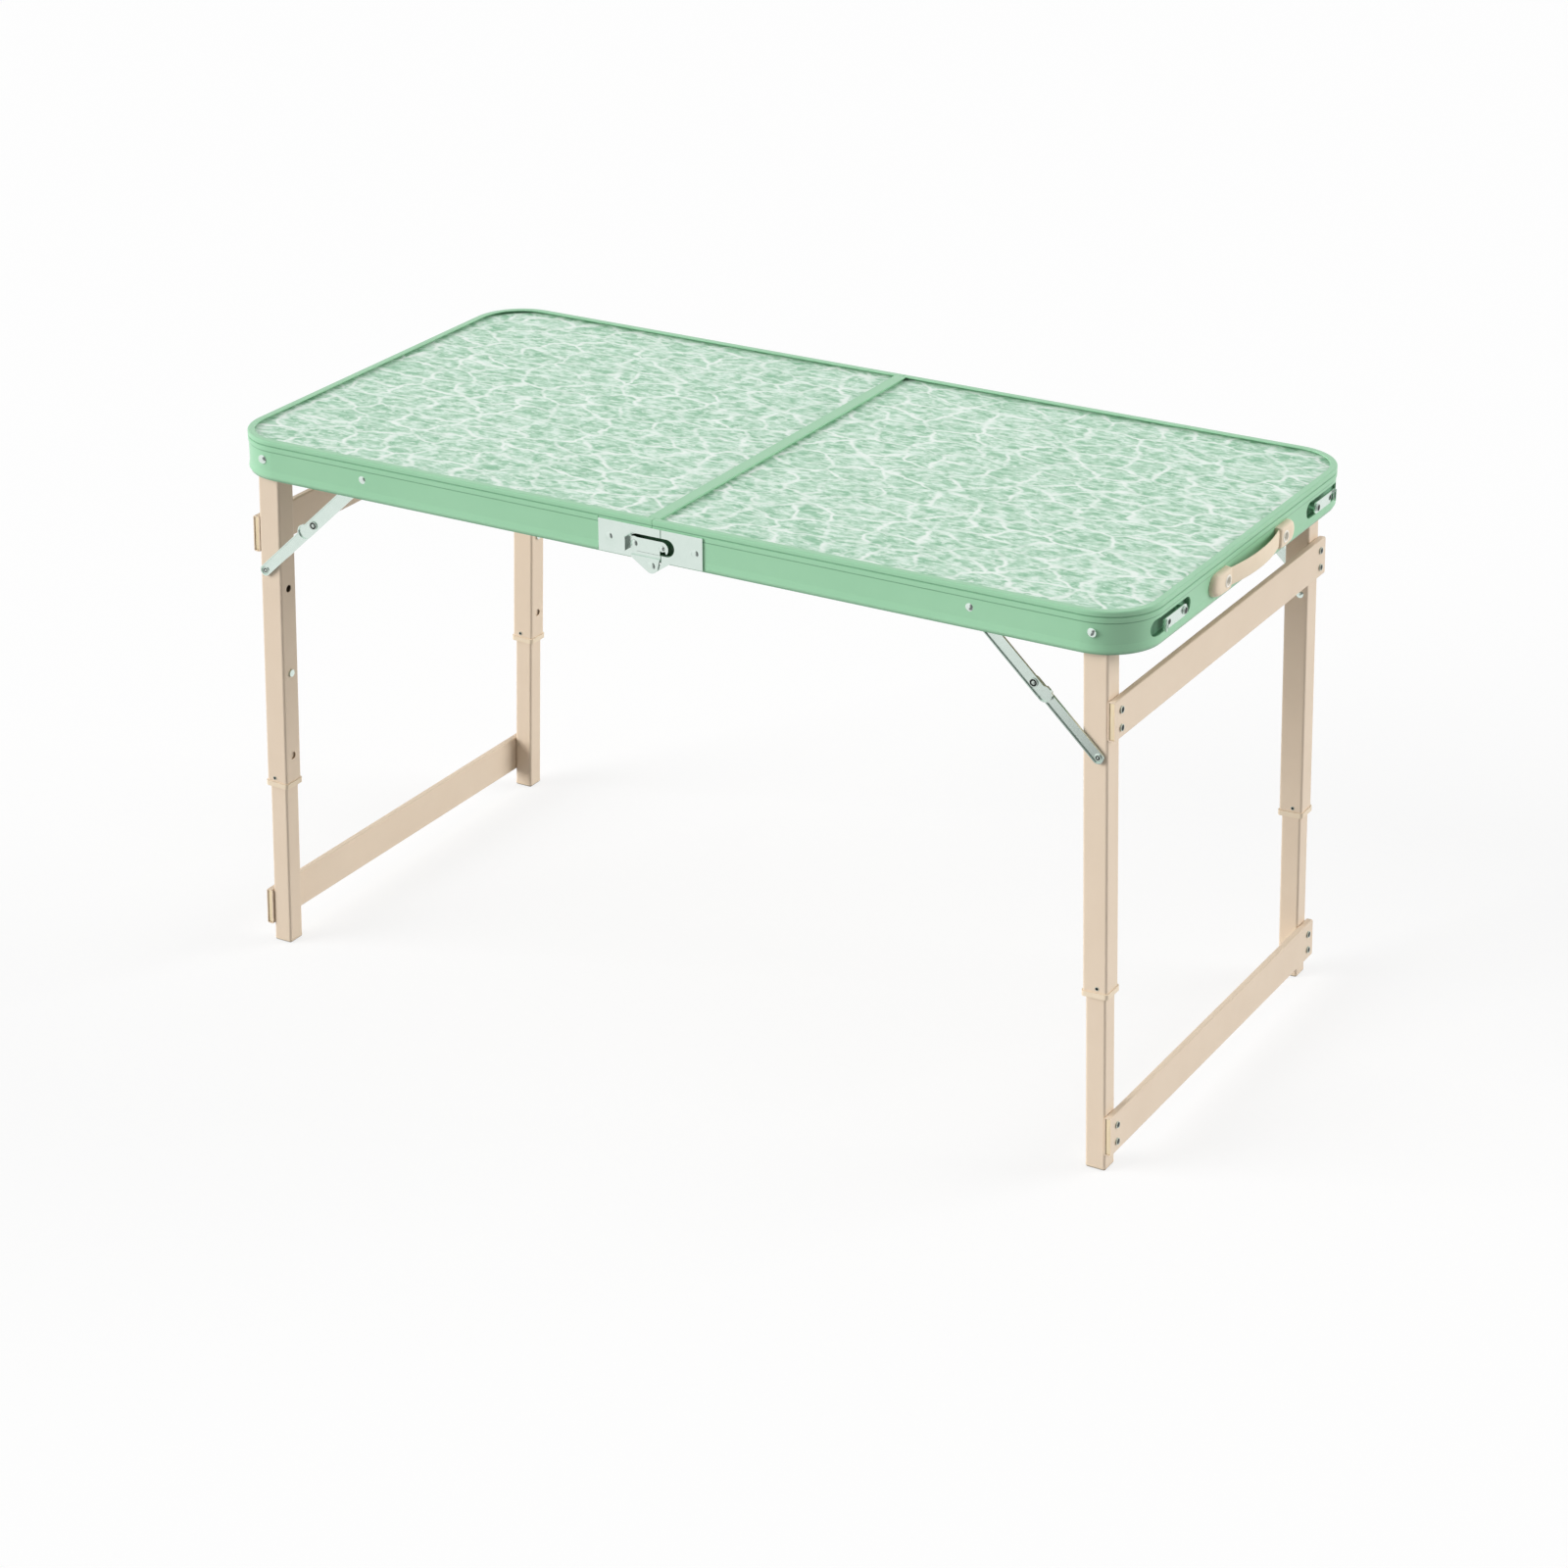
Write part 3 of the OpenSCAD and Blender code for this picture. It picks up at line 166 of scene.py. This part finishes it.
# Two broad lamps, to the front left and to the back right, which no surface mirrors.
for name, strength, breadth, turn in (
    ("key_light", 2.8, 40, (70, 0, -48)),
    ("side_light", 2.25, 40, (74, 0, 130)),
):
    lamp = bpy.data.objects.new(name, bpy.data.lights.new(name, "SUN"))
    lamp.data.energy = strength
    lamp.data.angle = math.radians(breadth)
    lamp.rotation_euler = [math.radians(a) for a in turn]
    lamp.visible_glossy = False
    scene.collection.objects.link(lamp)

# The sky is white to the eye. As a light it is half as bright, and fades toward the unlit
# end, broadly for matt surfaces and in a narrow patch for those that mirror it.
world = bpy.data.worlds.new("studio")
world.use_nodes = True
scene.world = world
sky = Paint(world.node_tree)
seen = sky.node("ShaderNodeLightPath").other("Is Camera Ray")
mirrored = sky.node("ShaderNodeLightPath").other("Is Glossy Ray")
toward = sky.node("ShaderNodeTexCoord").other("Generated")
wide = (1 - mirrored) * dark_end(sky, toward, (0.478, -0.828, 0.1), 0.35, 0.95)
narrow = mirrored * dark_end(sky, toward, (0.37, -0.88, 0.28), 0.84, 0.94)
sky_level = (0.5 + 0.5 * mirrored) * (1 - 0.85 * (wide + narrow))
background = sky.node(
    "ShaderNodeBackground",
    None,
    {"Color": (1.0, 1.0, 1.0, 1.0), "Strength": sky.maths("MAXIMUM", seen, sky_level)},
)
sky.node("ShaderNodeOutputWorld", None, {"Surface": background})

# The floor glows by itself to the eye, so that only faint shadows lie on it. To the table it
# is a pale grey, and dark at the unlit end where it is mirrored.
floor_mesh = bpy.data.meshes.new("floor")
floor_mesh.from_pydata([(-60, -60, 0), (60, -60, 0), (60, 60, 0), (-60, 60, 0)], [], [(0, 1, 2, 3)])
floor = bpy.data.objects.new("floor", floor_mesh)
floor.location = (0.0, 0.0, -0.0005)
scene.collection.objects.link(floor)
floor_material = bpy.data.materials.new("studio_floor")
floor_material.use_nodes = True
ground = Paint(floor_material.node_tree)
looked_at = ground.node("ShaderNodeLightPath").other("Is Camera Ray")
mirrored = ground.node("ShaderNodeLightPath").other("Is Glossy Ray")
from_top = ground.vector("SUBTRACT", ground.place(), (0.0, 0.0, 0.6))
far_side = dark_end(ground, ground.vector("NORMALIZE", from_top), (0.376, -0.877, -0.30), 0.90, 0.96)
matt = ground.node(
    "ShaderNodeBsdfDiffuse",
    None,
    {"Color": ground.mixed(looked_at, (0.55, 0.55, 0.55, 1.0), (1.0, 1.0, 1.0, 1.0))},
)
glow = ground.node(
    "ShaderNodeEmission",
    None,
    {
        "Color": (1.0, 1.0, 1.0, 1.0),
        "Strength": ground.maths("MAXIMUM", looked_at, 1 - 0.85 * far_side),
    },
)
surface = ground.node(
    "ShaderNodeMixShader", None, {0: 0.76 * looked_at + 0.9 * mirrored, 1: matt, 2: glow}
)
ground.node("ShaderNodeOutputMaterial", None, {"Surface": surface})
floor_mesh.materials.append(floor_material)


# Table panels: fibreboard in two halves with a printed laminate on top, pale green with
# white lines like light on shallow water; glued to the ledge inside the rim.


def shade(code):
    """A colour in six hexadecimal digits as linear red, green, blue and alpha."""
    parts = [int(code[i : i + 2], 16) / 255 for i in (0, 2, 4)]
    linear = [p / 12.92 if p <= 0.04045 else ((p + 0.055) / 1.055) ** 2.4 for p in parts]
    return (*linear, 1.0)


def blend(dark, pale, scale, detail=3.0, roughness=0.5, stretch=(1, 1, 1)):
    """A colour between two: soft noise of the given scale is its way from dark to pale."""
    return lambda paint: paint.mixed(
        paint.noise(paint.place(stretch), scale, detail, roughness), shade(dark), shade(pale)
    )


def uneven(least, spread, scale, detail=3.0, stretch=(1, 1, 1)):
    """A value from least to least plus spread: least plus spread times soft noise."""
    return lambda paint: least + spread * paint.noise(paint.place(stretch), scale, detail)


def grain(scale, strength, detail=2.0, stretch=(1, 1, 1)):
    """A fine relief: soft noise, raised by a fifth of a millimetre times strength."""
    return lambda paint: paint.bump(paint.noise(paint.place(stretch), scale, detail), strength, 0.0002)


def finish(name, colour, roughness, metallic=0.0, normal=None):
    """A material whose one surface shader takes its colour, roughness and normal from the
    links that the three functions make, and its metallic value as a constant."""
    material = bpy.data.materials.new(name)
    material.use_nodes = True
    paint = Paint(material.node_tree)
    sockets = {"Base Color": colour(paint), "Roughness": roughness(paint), "Metallic": metallic}
    if normal is not None:
        sockets["Normal"] = normal(paint)
    surface = paint.node("ShaderNodeBsdfPrincipled", None, sockets)
    paint.node("ShaderNodeOutputMaterial", None, {"Surface": surface})
    return material


def dress(material, *names):
    """Puts a material on every slot of the named nodes of the frame."""
    for name in names:
        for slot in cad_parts[name].material_slots:
            slot.material = material


def water_print(paint):
    """Print of the laminate: white lines along the borders of warped, stretched cells, large
    and small, over short dark and pale dashes along the table; board colour at the edges."""
    stretched = paint.place((1.0, 1.45, 1.0))
    sway = paint.vector("SUBTRACT", paint.noise(stretched, 21.0, 3.0).other("Color"), (0.5, 0.5, 0.5))
    swayed = paint.node(
        "ShaderNodeVectorMath",
        {"operation": "MULTIPLY_ADD"},
        {0: sway, 1: (0.05, 0.05, 0.0), 2: stretched},
    )

    def cells(size):
        """Distance from the border of the nearest cell, in cells."""
        return paint.node(
            "ShaderNodeTexVoronoi",
            {"feature": "DISTANCE_TO_EDGE", "voronoi_dimensions": "2D"},
            {"Vector": swayed, "Scale": size},
        )

    fading = paint.step(paint.noise(stretched, 23.0, 2.0), 0.36, 0.62)
    lines = (1 - paint.step(cells(17.0), 0.01, 0.095)) * (0.45 + 0.5 * fading)
    patches = paint.step(paint.noise(stretched, 37.0, 2.0), 0.4, 0.6)
    veins = (1 - paint.step(cells(35.0), 0.0, 0.17)) * patches
    dashes = paint.noise(paint.place((56.0, 104.0, 1.0)), 1.0, 3.0, 0.55, 0.4)
    threads = paint.noise(paint.place((96.0, 190.0, 1.0), (3.0, 1.0, 0.0)), 1.0, 2.0)
    print_colour = paint.mixed(paint.step(dashes, 0.47, 0.66), shade("B7DBC3"), shade("84BC98"))
    for amount, colour in (
        (paint.step(dashes, 0.47, 0.34), "DBF0E3"),
        (0.75 * paint.step(threads, 0.53, 0.68), "E5F5EA"),
        (0.6 * paint.step(threads, 0.47, 0.32), "90C4A2"),
        (0.55 * veins, "E6F5EA"),
        (lines, "F0FAF3"),
    ):
        print_colour = paint.mixed(amount, print_colour, shade(colour))
    board = blend("CFC3A8", "B7A88A", 900.0)(paint)
    return paint.mixed(paint.step(paint.height(), 0.6751, 0.6755), board, print_colour)


laminate = finish("panel_laminate", water_print, uneven(0.40, 0.10, 60.0), normal=grain(700.0, 0.10))
dress(laminate, "left_panel", "right_panel")


# Rim and centre rails: rolled sheet, powder coated green, bent round the corners and
# closed at the fold line by plain rails, one with a cover strip.


def coated_rim(paint):
    """Green coat, a little uneven, with painted shade: darker in the two creases under the lip
    and the ridge and along the turned edge below, where light doesn't reach."""
    coat = blend("94C9A2", "A0D2AD", 9.0, 4.0, 0.6)(paint)
    height = paint.height()
    upper = 1 - paint.step(paint.maths("ABSOLUTE", height - 0.6733), 0.0003, 0.0012)
    lower = 1 - paint.step(paint.maths("ABSOLUTE", height - 0.6661), 0.0002, 0.0011)
    edge = 1 - paint.step(height, 0.6308, 0.6330)
    # Painted shade: the two creases and the turned edge are mixed toward dark green by up to 0.65.
    painted_crease_shade = paint.maths("MAXIMUM", paint.maths("MAXIMUM", upper, lower), edge)
    return paint.mixed(painted_crease_shade * 0.65, coat, shade("5E9270"))


def rolled_relief(paint):
    """The coat's fine grain on top of shallow waves that the rolling left, 2 mm times 0.05."""
    waves = paint.bump(paint.noise(paint.place((1, 1, 3)), 25.0), 0.05, 0.002)
    return paint.bump(paint.noise(paint.place(), 1100.0), 0.25, 0.0002, waves)


rim_coat = finish("rim_green", coated_rim, uneven(0.30, 0.12, 40.0), normal=rolled_relief)
dress(rim_coat, "left_rim", "right_rim", "left_centre_rail", "right_centre_rail")


# Stiffening channels under the panels: extruded aluminium in mill finish, with the fine
# lines of the die along them.

mill_finish = finish(
    "bare_aluminium",
    blend("C3C6C6", "DADCDB", 1.0, stretch=(600.0, 4.0, 600.0)),
    uneven(0.34, 0.16, 1.0, 2.0, (900.0, 3.0, 900.0)),
    metallic=1.0,
    normal=grain(1.0, 0.3, stretch=(1500.0, 3.0, 1500.0)),
)
dress(mill_finish, "left_stiffener", "right_stiffener")


# Hinge plates, hooks, latches, links, bolts and rivets: pressed and turned steel, zinc
# plated, with a faint grain and a slight green cast.

zinc = finish(
    "zinc_steel",
    blend("D9E9E0", "E7F3EC", 55.0, 4.0, 0.65),
    uneven(0.18, 0.12, 120.0, 4.0),
    metallic=1.0,
    normal=grain(500.0, 0.2, 3.0, (1.0, 1.0, 6.0)),
)
zinc_ends = ("rivets", "bolts", "plates", "studs", "screws", "link", "hook", "latch", "button")
dress(zinc, *[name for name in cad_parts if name.endswith(zinc_ends)])


# Hollow heads on the ends of the leg bars, on the braces and on the latches: tubular
# rivets of the same steel, spread open at their mouth; the hole in the middle is painted near black as
# shade.


def woven(rows):
    """Quads between neighbouring rows of points, each row closed on itself. Gives back points,
    faces and, for each point, the place of its row from 0 to 1."""
    deep, count = rows.shape[:2]
    row, step = np.meshgrid(np.arange(deep - 1), np.arange(count), indexing="ij")
    after = (step + 1) % count
    corners = [row * count + step, row * count + after, (row + 1) * count + after, (row + 1) * count + step]
    along = np.repeat(np.linspace(0.0, 1.0, deep), count)
    return rows.reshape(-1, 3), np.stack(corners, -1).reshape(-1, 4), along


def turned(profile, centre, axis, count=28):
    """Surface of revolution: every profile point, a height along the axis and a radius, goes
    round the axis through centre in count steps."""
    height, radius = np.array(profile).T
    axis = np.array(axis) / np.linalg.norm(axis)
    across = np.cross(axis, (0.0, 0.0, 1.0) if abs(axis[2]) < 0.9 else (1.0, 0.0, 0.0))
    across /= np.linalg.norm(across)
    turn = np.linspace(0.0, 2.0 * np.pi, count, endpoint=False)
    ring = np.cos(turn)[:, None] * across + np.sin(turn)[:, None] * np.cross(axis, across)
    return woven(np.array(centre) + height[:, None, None] * axis + radius[:, None, None] * ring)


def piece(name, parts, body, material):
    """One mesh from several surfaces, each given as points, faces and a value for each point,
    which the mesh keeps as the attribute along; poles are merged and faces point outward."""
    counts = np.cumsum([0] + [len(part[0]) for part in parts])
    points = np.concatenate([part[0] for part in parts])
    faces = np.concatenate([part[1] + first for part, first in zip(parts, counts)])
    mesh = bpy.data.meshes.new(name)
    mesh.from_pydata(points, [], faces.tolist())
    mesh.attributes.new("along", "FLOAT", "POINT").data.foreach_set(
        "value", np.concatenate([part[2] for part in parts])
    )
    form = bmesh.new()
    form.from_mesh(mesh)
    bmesh.ops.remove_doubles(form, verts=form.verts, dist=1e-6)
    bmesh.ops.recalc_face_normals(form, faces=form.faces)
    form.to_mesh(mesh)
    form.free()
    mesh.shade_smooth()
    mesh.materials.append(material)
    made = bpy.data.objects.new(name, mesh)
    scene.collection.objects.link(made)
    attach(made, body)
    return made


def hollow_head(centre, axis, radius, height, wall):
    """Rolled mouth of a tubular rivet: up the outside, over a half round lip as thick as wall
    times the radius, and down into the hole, whose floor lies just above the head below."""
    lip = wall * radius
    mouth = [
        (0.9 * height + 0.9 * lip * np.sin(a), radius - lip + lip * np.cos(a))
        for a in np.linspace(0.0, np.pi, 9)
    ]
    hole = [(height, radius - 2.1 * lip), (height, 0.3 * radius), (height, 0.0)]
    return turned([(0.0, 0.0), (0.0, radius), *mouth, *hole], centre, axis)


def hollow_steel(paint):
    """Zinc plate on the lip, and painted shade, near black, down in the hole, by the place along the
    profile.
    """
    plate = blend("B9C7BE", "E3ECE6", 300.0)(paint)
    return paint.mixed(paint.step(paint.along(), 0.74, 0.84), plate, shade("2A2F2C"))


eye_steel = finish(
    "hollow_steel", hollow_steel, uneven(0.3, 0.2, 150.0), metallic=0.85, normal=grain(900.0, 0.2)
)

# The legs lean outward by two degrees, alike to both sides of the middle, and stand in two
# rows at the same distance from the table's long axis.
lean_cos, lean_sin = math.cos(math.radians(2)), math.sin(math.radians(2))
middle_x = -0.0043
leg_y = 0.275
for side, way in (("left", -1), ("right", 1)):
    for level, face, heights in (
        ("upper", 0.59038, (0.5632, 0.5422)),
        ("lower", 0.58788, (0.057, 0.036)),
    ):
        heads = [
            hollow_head(
                (way * ((face - lean_sin * z) / lean_cos - middle_x) + middle_x, y, z),
                (way * lean_cos, 0.0, lean_sin),
                radius=0.0041,
                height=0.0017,
                wall=0.10,
            )
            for y in (-leg_y, leg_y)
            for z in heights
        ]
        piece(f"{side}_{level}_bar_eyes", heads, f"{side}_leg_{level}", eye_steel)
    for end, out in (("front", -1), ("back", 1)):
        body = f"{side}_{end}_brace"
        outward = (0.0, out, 0.0)
        elbow = (way * 0.48004 + middle_x, out * 0.2957, 0.58213)
        mouth = hollow_head(elbow, outward, radius=0.0052, height=0.0015, wall=0.10)
        pin_profile = [(0.0, 0.0), (0.0, 0.0027), (0.0010, 0.0026), (0.0016, 0.0022), (0.0017, 0.0)]
        points, faces, along = turned(pin_profile, elbow, outward)
        bright_pin = (points, faces, 0.5 * along)
        piece(f"{body}_elbow_eye", [mouth, bright_pin], f"{body}_upper", eye_steel)
        foot = (way * 0.55809 + middle_x, out * 0.2924, 0.50926)
        mouth = hollow_head(foot, outward, radius=0.0038, height=0.0014, wall=0.17)
        piece(f"{body}_foot_eye", [mouth], f"{body}_lower", eye_steel)
for end, out in (("front", -1), ("back", 1)):
    outward = (1.0, 0.0, 0.0)
    pivot = hollow_head((0.5993, out * 0.184, 0.652), outward, radius=0.0044, height=0.0019, wall=0.09)
    piece(f"{end}_latch_pivot_eye", [pivot], "right_half", eye_steel)
    hole = hollow_head((0.5989, out * 0.2225, 0.652), outward, radius=0.0035, height=0.0004, wall=0.07)
    piece(f"{end}_latch_hole", [hole], f"{end}_latch_arm", eye_steel)


# Pockets behind the hook windows and the latch recesses: pressed sheet, painted in the rim's
# green darkened as painted shade; the narrow ones behind the windows are painted darkest, as deep shade.

for name, dark, pale, pockets in (
    ("window_green", "2F5A3E", "3E6C4C", ("left_hook_pockets", "right_hook_pockets")),
    ("recess_green", "6A9C7B", "78AB89", ("latch_pockets",)),
):
    pocket_painted_shade = finish(
        name, blend(dark, pale, 30.0), uneven(0.5, 0.1, 80.0, 2.0), normal=grain(900.0, 0.2)
    )
    dress(pocket_painted_shade, *pockets)


# Legs and leg bars: square and flat aluminium tube, powder coated beige. The bars are
# riveted across the outer faces of the legs.

leg_coat = finish(
    "leg_beige",
    blend("E1CDB6", "E9D7C1", 14.0, 4.0, 0.6),
    uneven(0.42, 0.12, 50.0),
    normal=grain(1200.0, 0.3),
)
dress(leg_coat, *[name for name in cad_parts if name.endswith(("_leg", "_bar"))])


# Collars between the upper and the lower legs: moulded plastic in the legs' colour, pushed
# over the end of the upper tube.

beige_moulding = finish(
    "beige_plastic",
    blend("E8D5BA", "F1E1C9", 35.0, 3.0, 0.6),
    uneven(0.48, 0.12, 90.0),
    normal=grain(1600.0, 0.35, 1.0),
)
dress(beige_moulding, "left_collars", "right_collars")


# Ends of the legs and of the flat bars: moulded plastic pressed into the tubes. A shoe is
# flush with its leg and rounded below; a stopper fills the end of a bar.


def with_poles(rows):
    """The rows with a pole before the first and after the last: the mean of that row's points,
    repeated as often as the row has points."""
    poles = [np.repeat(row.mean(0, keepdims=True), len(row), 0) for row in (rows[0], rows[-1])]
    return np.array([poles[0], *rows, poles[1]])


def capped(levels, half_a, half_b, radius, across, upward):
    """Closed solid of rounded rectangles: every level gives its centre and how far it lies
    inside the largest outline, whose corners are quarter circles of the radius."""
    turn = np.linspace(0.0, np.pi / 2, 9) + np.arange(4)[:, None] * np.pi / 2
    side_a, side_b = np.array([(1, 1), (-1, 1), (-1, -1), (1, -1)]).T[:, :, None]
    rows = []
    for centre, inset in levels:
        bend = radius - min(inset, 0.8 * radius)
        a = side_a * (half_a - inset - bend) + bend * np.cos(turn)
        b = side_b * (half_b - inset - bend) + bend * np.sin(turn)
        rows.append(np.array(centre) + a.reshape(-1, 1) * across + b.reshape(-1, 1) * upward)
    return woven(with_poles(rows))


def shoe_paint(paint):
    """The moulding's beige, with painted shade where the shoe rolls in toward the ground."""
    beige = blend("DFCBB2", "E8D6BE", 35.0, 3.0, 0.6)(paint)
    return paint.mixed(paint.step(paint.height(), 0.0012, 0.0026), shade("7F7159"), beige)


shoe_plastic = finish(
    "shoe_plastic", shoe_paint, uneven(0.48, 0.12, 90.0), normal=grain(1600.0, 0.35, 1.0)
)
stopper_plastic = finish(
    "stopper_plastic",
    blend("E6D3AE", "EFE0C0", 60.0),
    uneven(0.45, 0.12, 90.0),
    normal=grain(1600.0, 0.35, 1.0),
)
shoe_levels = ((0.0, 0.0024), (0.0006, 0.0010), (0.0014, 0.0004), (0.0026, 0.0), (0.0045, 0.0))
stopper_levels = ((0.2851, 0.0), (0.2883, 0.0), (0.2887, 0.0002), (0.2889, 0.0006))
for side, way, foot_x, ends in (
    ("left", -1, -0.57517, {"upper": (-0.59432, 0.53233), "lower": (-0.59182, 0.02593)}),
    ("right", 1, 0.56657, {"upper": (0.58573, 0.53263), "lower": (0.58323, 0.02623)}),
):
    shoes = [
        capped(
            [((foot_x - way * lean_sin * z, y, z), inset) for z, inset in shoe_levels],
            half_a=0.0127,
            half_b=0.0127,
            radius=0.0032,
            across=np.array((1.0, 0.0, 0.0)),
            upward=np.array((0.0, 1.0, 0.0)),
        )
        for y in (-leg_y, leg_y)
    ]
    shoe = piece(f"{side}_shoes", shoes, f"{side}_leg_lower", shoe_plastic)
    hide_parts(f"{side}_foot_caps")
    across = np.array((lean_cos, 0.0, way * lean_sin))
    upward = np.array((-way * lean_sin, 0.0, lean_cos))
    for level, half_height in (("upper", 0.0216), ("lower", 0.0226)):
        middle = ends[level][0] * across + ends[level][1] * upward
        stoppers = [
            capped(
                [(middle + (0.0, out * y, 0.0), inset) for y, inset in stopper_levels],
                half_a=0.00315,
                half_b=half_height,
                radius=0.0007,
                across=across,
                upward=upward,
            )
            for out in (-1, 1)
        ]
        name = f"{side}_{level}_bar_stoppers"
        piece(name, stoppers, f"{side}_leg_{level}", stopper_plastic)


# Pips that hold each collar in its tube: the hollow ends show as dots, painted dark as shade
# in their shallow holes, on the inner and the outer face of the leg, just over the collar.

for side, x in (("left", -0.5702), ("right", 0.5616)):
    dots = [
        hollow_head((x, out * face, 0.2296), (0.0, out * way, 0.0), radius=0.0023, height=0.0006, wall=0.12)
        for out in (-1, 1)
        for face, way in ((0.290, 1), (0.260, -1))
    ]
    piece(f"{side}_pip_dots", dots, f"{side}_leg_upper", eye_steel)


# Handle: a bowed strap of soft moulded plastic, thick and round at its edges, whose ends
# lie in two moulded pads; each pad has a raised ring round its cross-headed screw.

handle_z = 0.6513
screw_y = 0.080


def bowed_strap(half_length, out, radius, width, thickness):
    """Rounded flat section carried along an arc of a large circle about the Z axis: the
    section is a superellipse, its thickness a quarter fuller at the middle of the arc."""
    reach = math.asin(half_length / radius)
    bend = np.linspace(-reach, reach, 61)[:, None]
    turn = np.linspace(0.0, 2.0 * np.pi, 40, endpoint=False)[None, :]
    cos, sin = np.cos(turn), np.sin(turn)
    full = thickness * (1.0 + 0.25 * np.cos(bend / reach * np.pi / 2) ** 2)
    depth = radius - thickness / 2 + full / 2 * np.sign(cos) * np.abs(cos) ** 0.75
    rise = width / 2 * np.sign(sin) * np.abs(sin) ** 0.55
    x, y, z = out - radius + depth * np.cos(bend), depth * np.sin(bend), handle_z + rise
    return woven(with_poles(np.stack(np.broadcast_arrays(x, y, z), -1)))


def moulded_pad(side):
    """Pad over one end of the strap, drawn outward from its screw: the screw's well, the ring
    round it, then a crowned face that rolls down to an outline that is square toward the
    strap and a circle of the half height at the far end. The face's height falls as
    (1 - place^5)^0.45, and its rows crowd toward the outline as 1 - (1 - part)^1.6."""
    half_height, near, far = 0.0132, 0.0125, 0.0190
    turn = np.linspace(0.0, 2.0 * np.pi, 72, endpoint=False)
    along, rise = np.cos(turn), np.sin(turn)
    flat = np.minimum(
        half_height / np.maximum(np.abs(rise), 1e-6),
        np.where(along < 0, near / np.maximum(-along, 1e-6), 1.0),
    )
    round_end = far * along + np.sqrt(np.maximum(half_height**2 - (far * rise) ** 2, 0.0))
    edge = np.where(flat * along > far, round_end, flat)
    well = [(0.0, 0.6002), (0.0050, 0.6002), (0.0051, 0.6046)]
    ring = [(0.0056, 0.6055), (0.0068, 0.6055), (0.0074, 0.6046)]
    rows = [*well, *ring]
    for part in np.linspace(0.05, 1.0, 16):
        place = 1.0 - (1.0 - part) ** 1.6
        rows.append((0.0074 + (edge - 0.0074) * place, 0.5960 + 0.0086 * (1.0 - place**5) ** 0.45))
    rows += [(edge, 0.5952), (0.0, 0.5952)]
    grid = [
        np.stack(np.broadcast_arrays(x, side * (screw_y + r * along), handle_z + r * rise), -1)
        for r, x in rows
    ]
    return woven(np.array(grid))


def cross_recess(side):
    """Driving cross in a screw head: a disc whose radius follows the four arms of a plus,
    domed a little like the head around it."""
    turn = np.linspace(0.0, 2.0 * np.pi, 64, endpoint=False)
    nearer_axis = np.minimum(np.abs(np.sin(turn)), np.abs(np.cos(turn)))
    arm = np.minimum(1.0, 0.24 / np.maximum(nearer_axis, 1e-6))
    across, rise = arm * np.cos(turn), arm * np.sin(turn)
    rows = ((0.0, 0.6010), (0.0030, 0.6010), (0.0030, 0.60235), (0.0015, 0.60250), (0.0, 0.60252))
    grid = [
        np.stack(np.broadcast_arrays(x, side * screw_y + r * across, handle_z + r * rise), -1)
        for r, x in rows
    ]
    return woven(np.array(grid))


def pad_paint(paint):
    """The moulding's beige, with a painted highlight on the ring, whose rows come before a fifth of the
    way.
    """
    beige = blend("E8D5BA", "F1E1C9", 35.0, 3.0, 0.6)(paint)
    return paint.mixed(paint.step(paint.along(), 0.24, 0.19), beige, shade("FAF4E8"))


arc = bowed_strap(half_length=0.073, out=0.6092, radius=0.3177, width=0.0215, thickness=0.0032)
strap = piece("strap_moulding", [arc], "right_half", beige_moulding)
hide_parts("handle_strap")
pad_plastic = finish(
    "pad_plastic", pad_paint, uneven(0.42, 0.12, 90.0), normal=grain(1600.0, 0.35, 1.0)
)
pads = piece(
    "pad_mouldings", [moulded_pad(-1), moulded_pad(1)], "right_half", pad_plastic
)
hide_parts("handle_pads")
# The cross in each screw head is painted near black, as the shade down in its recess.
recess_painted_shade = finish(
    "screw_recess", blend("1F2321", "3C423F", 400.0, 2.0), uneven(0.5, 0.2, 300.0, 2.0), metallic=0.6
)
piece("screw_crosses", [cross_recess(-1), cross_recess(1)], "right_half", recess_painted_shade)


# Guide plugs inside the leg tubes: moulded dark plastic, pressed into the top of each lower
# leg, so that it slides in the upper one without play.

dark_moulding = finish(
    "dark_plastic",
    blend("3A3733", "4A4640", 60.0),
    uneven(0.5, 0.15, 90.0),
    normal=grain(1600.0, 0.3, 1.0),
)
dress(dark_moulding, "left_guide_plugs", "right_guide_plugs")
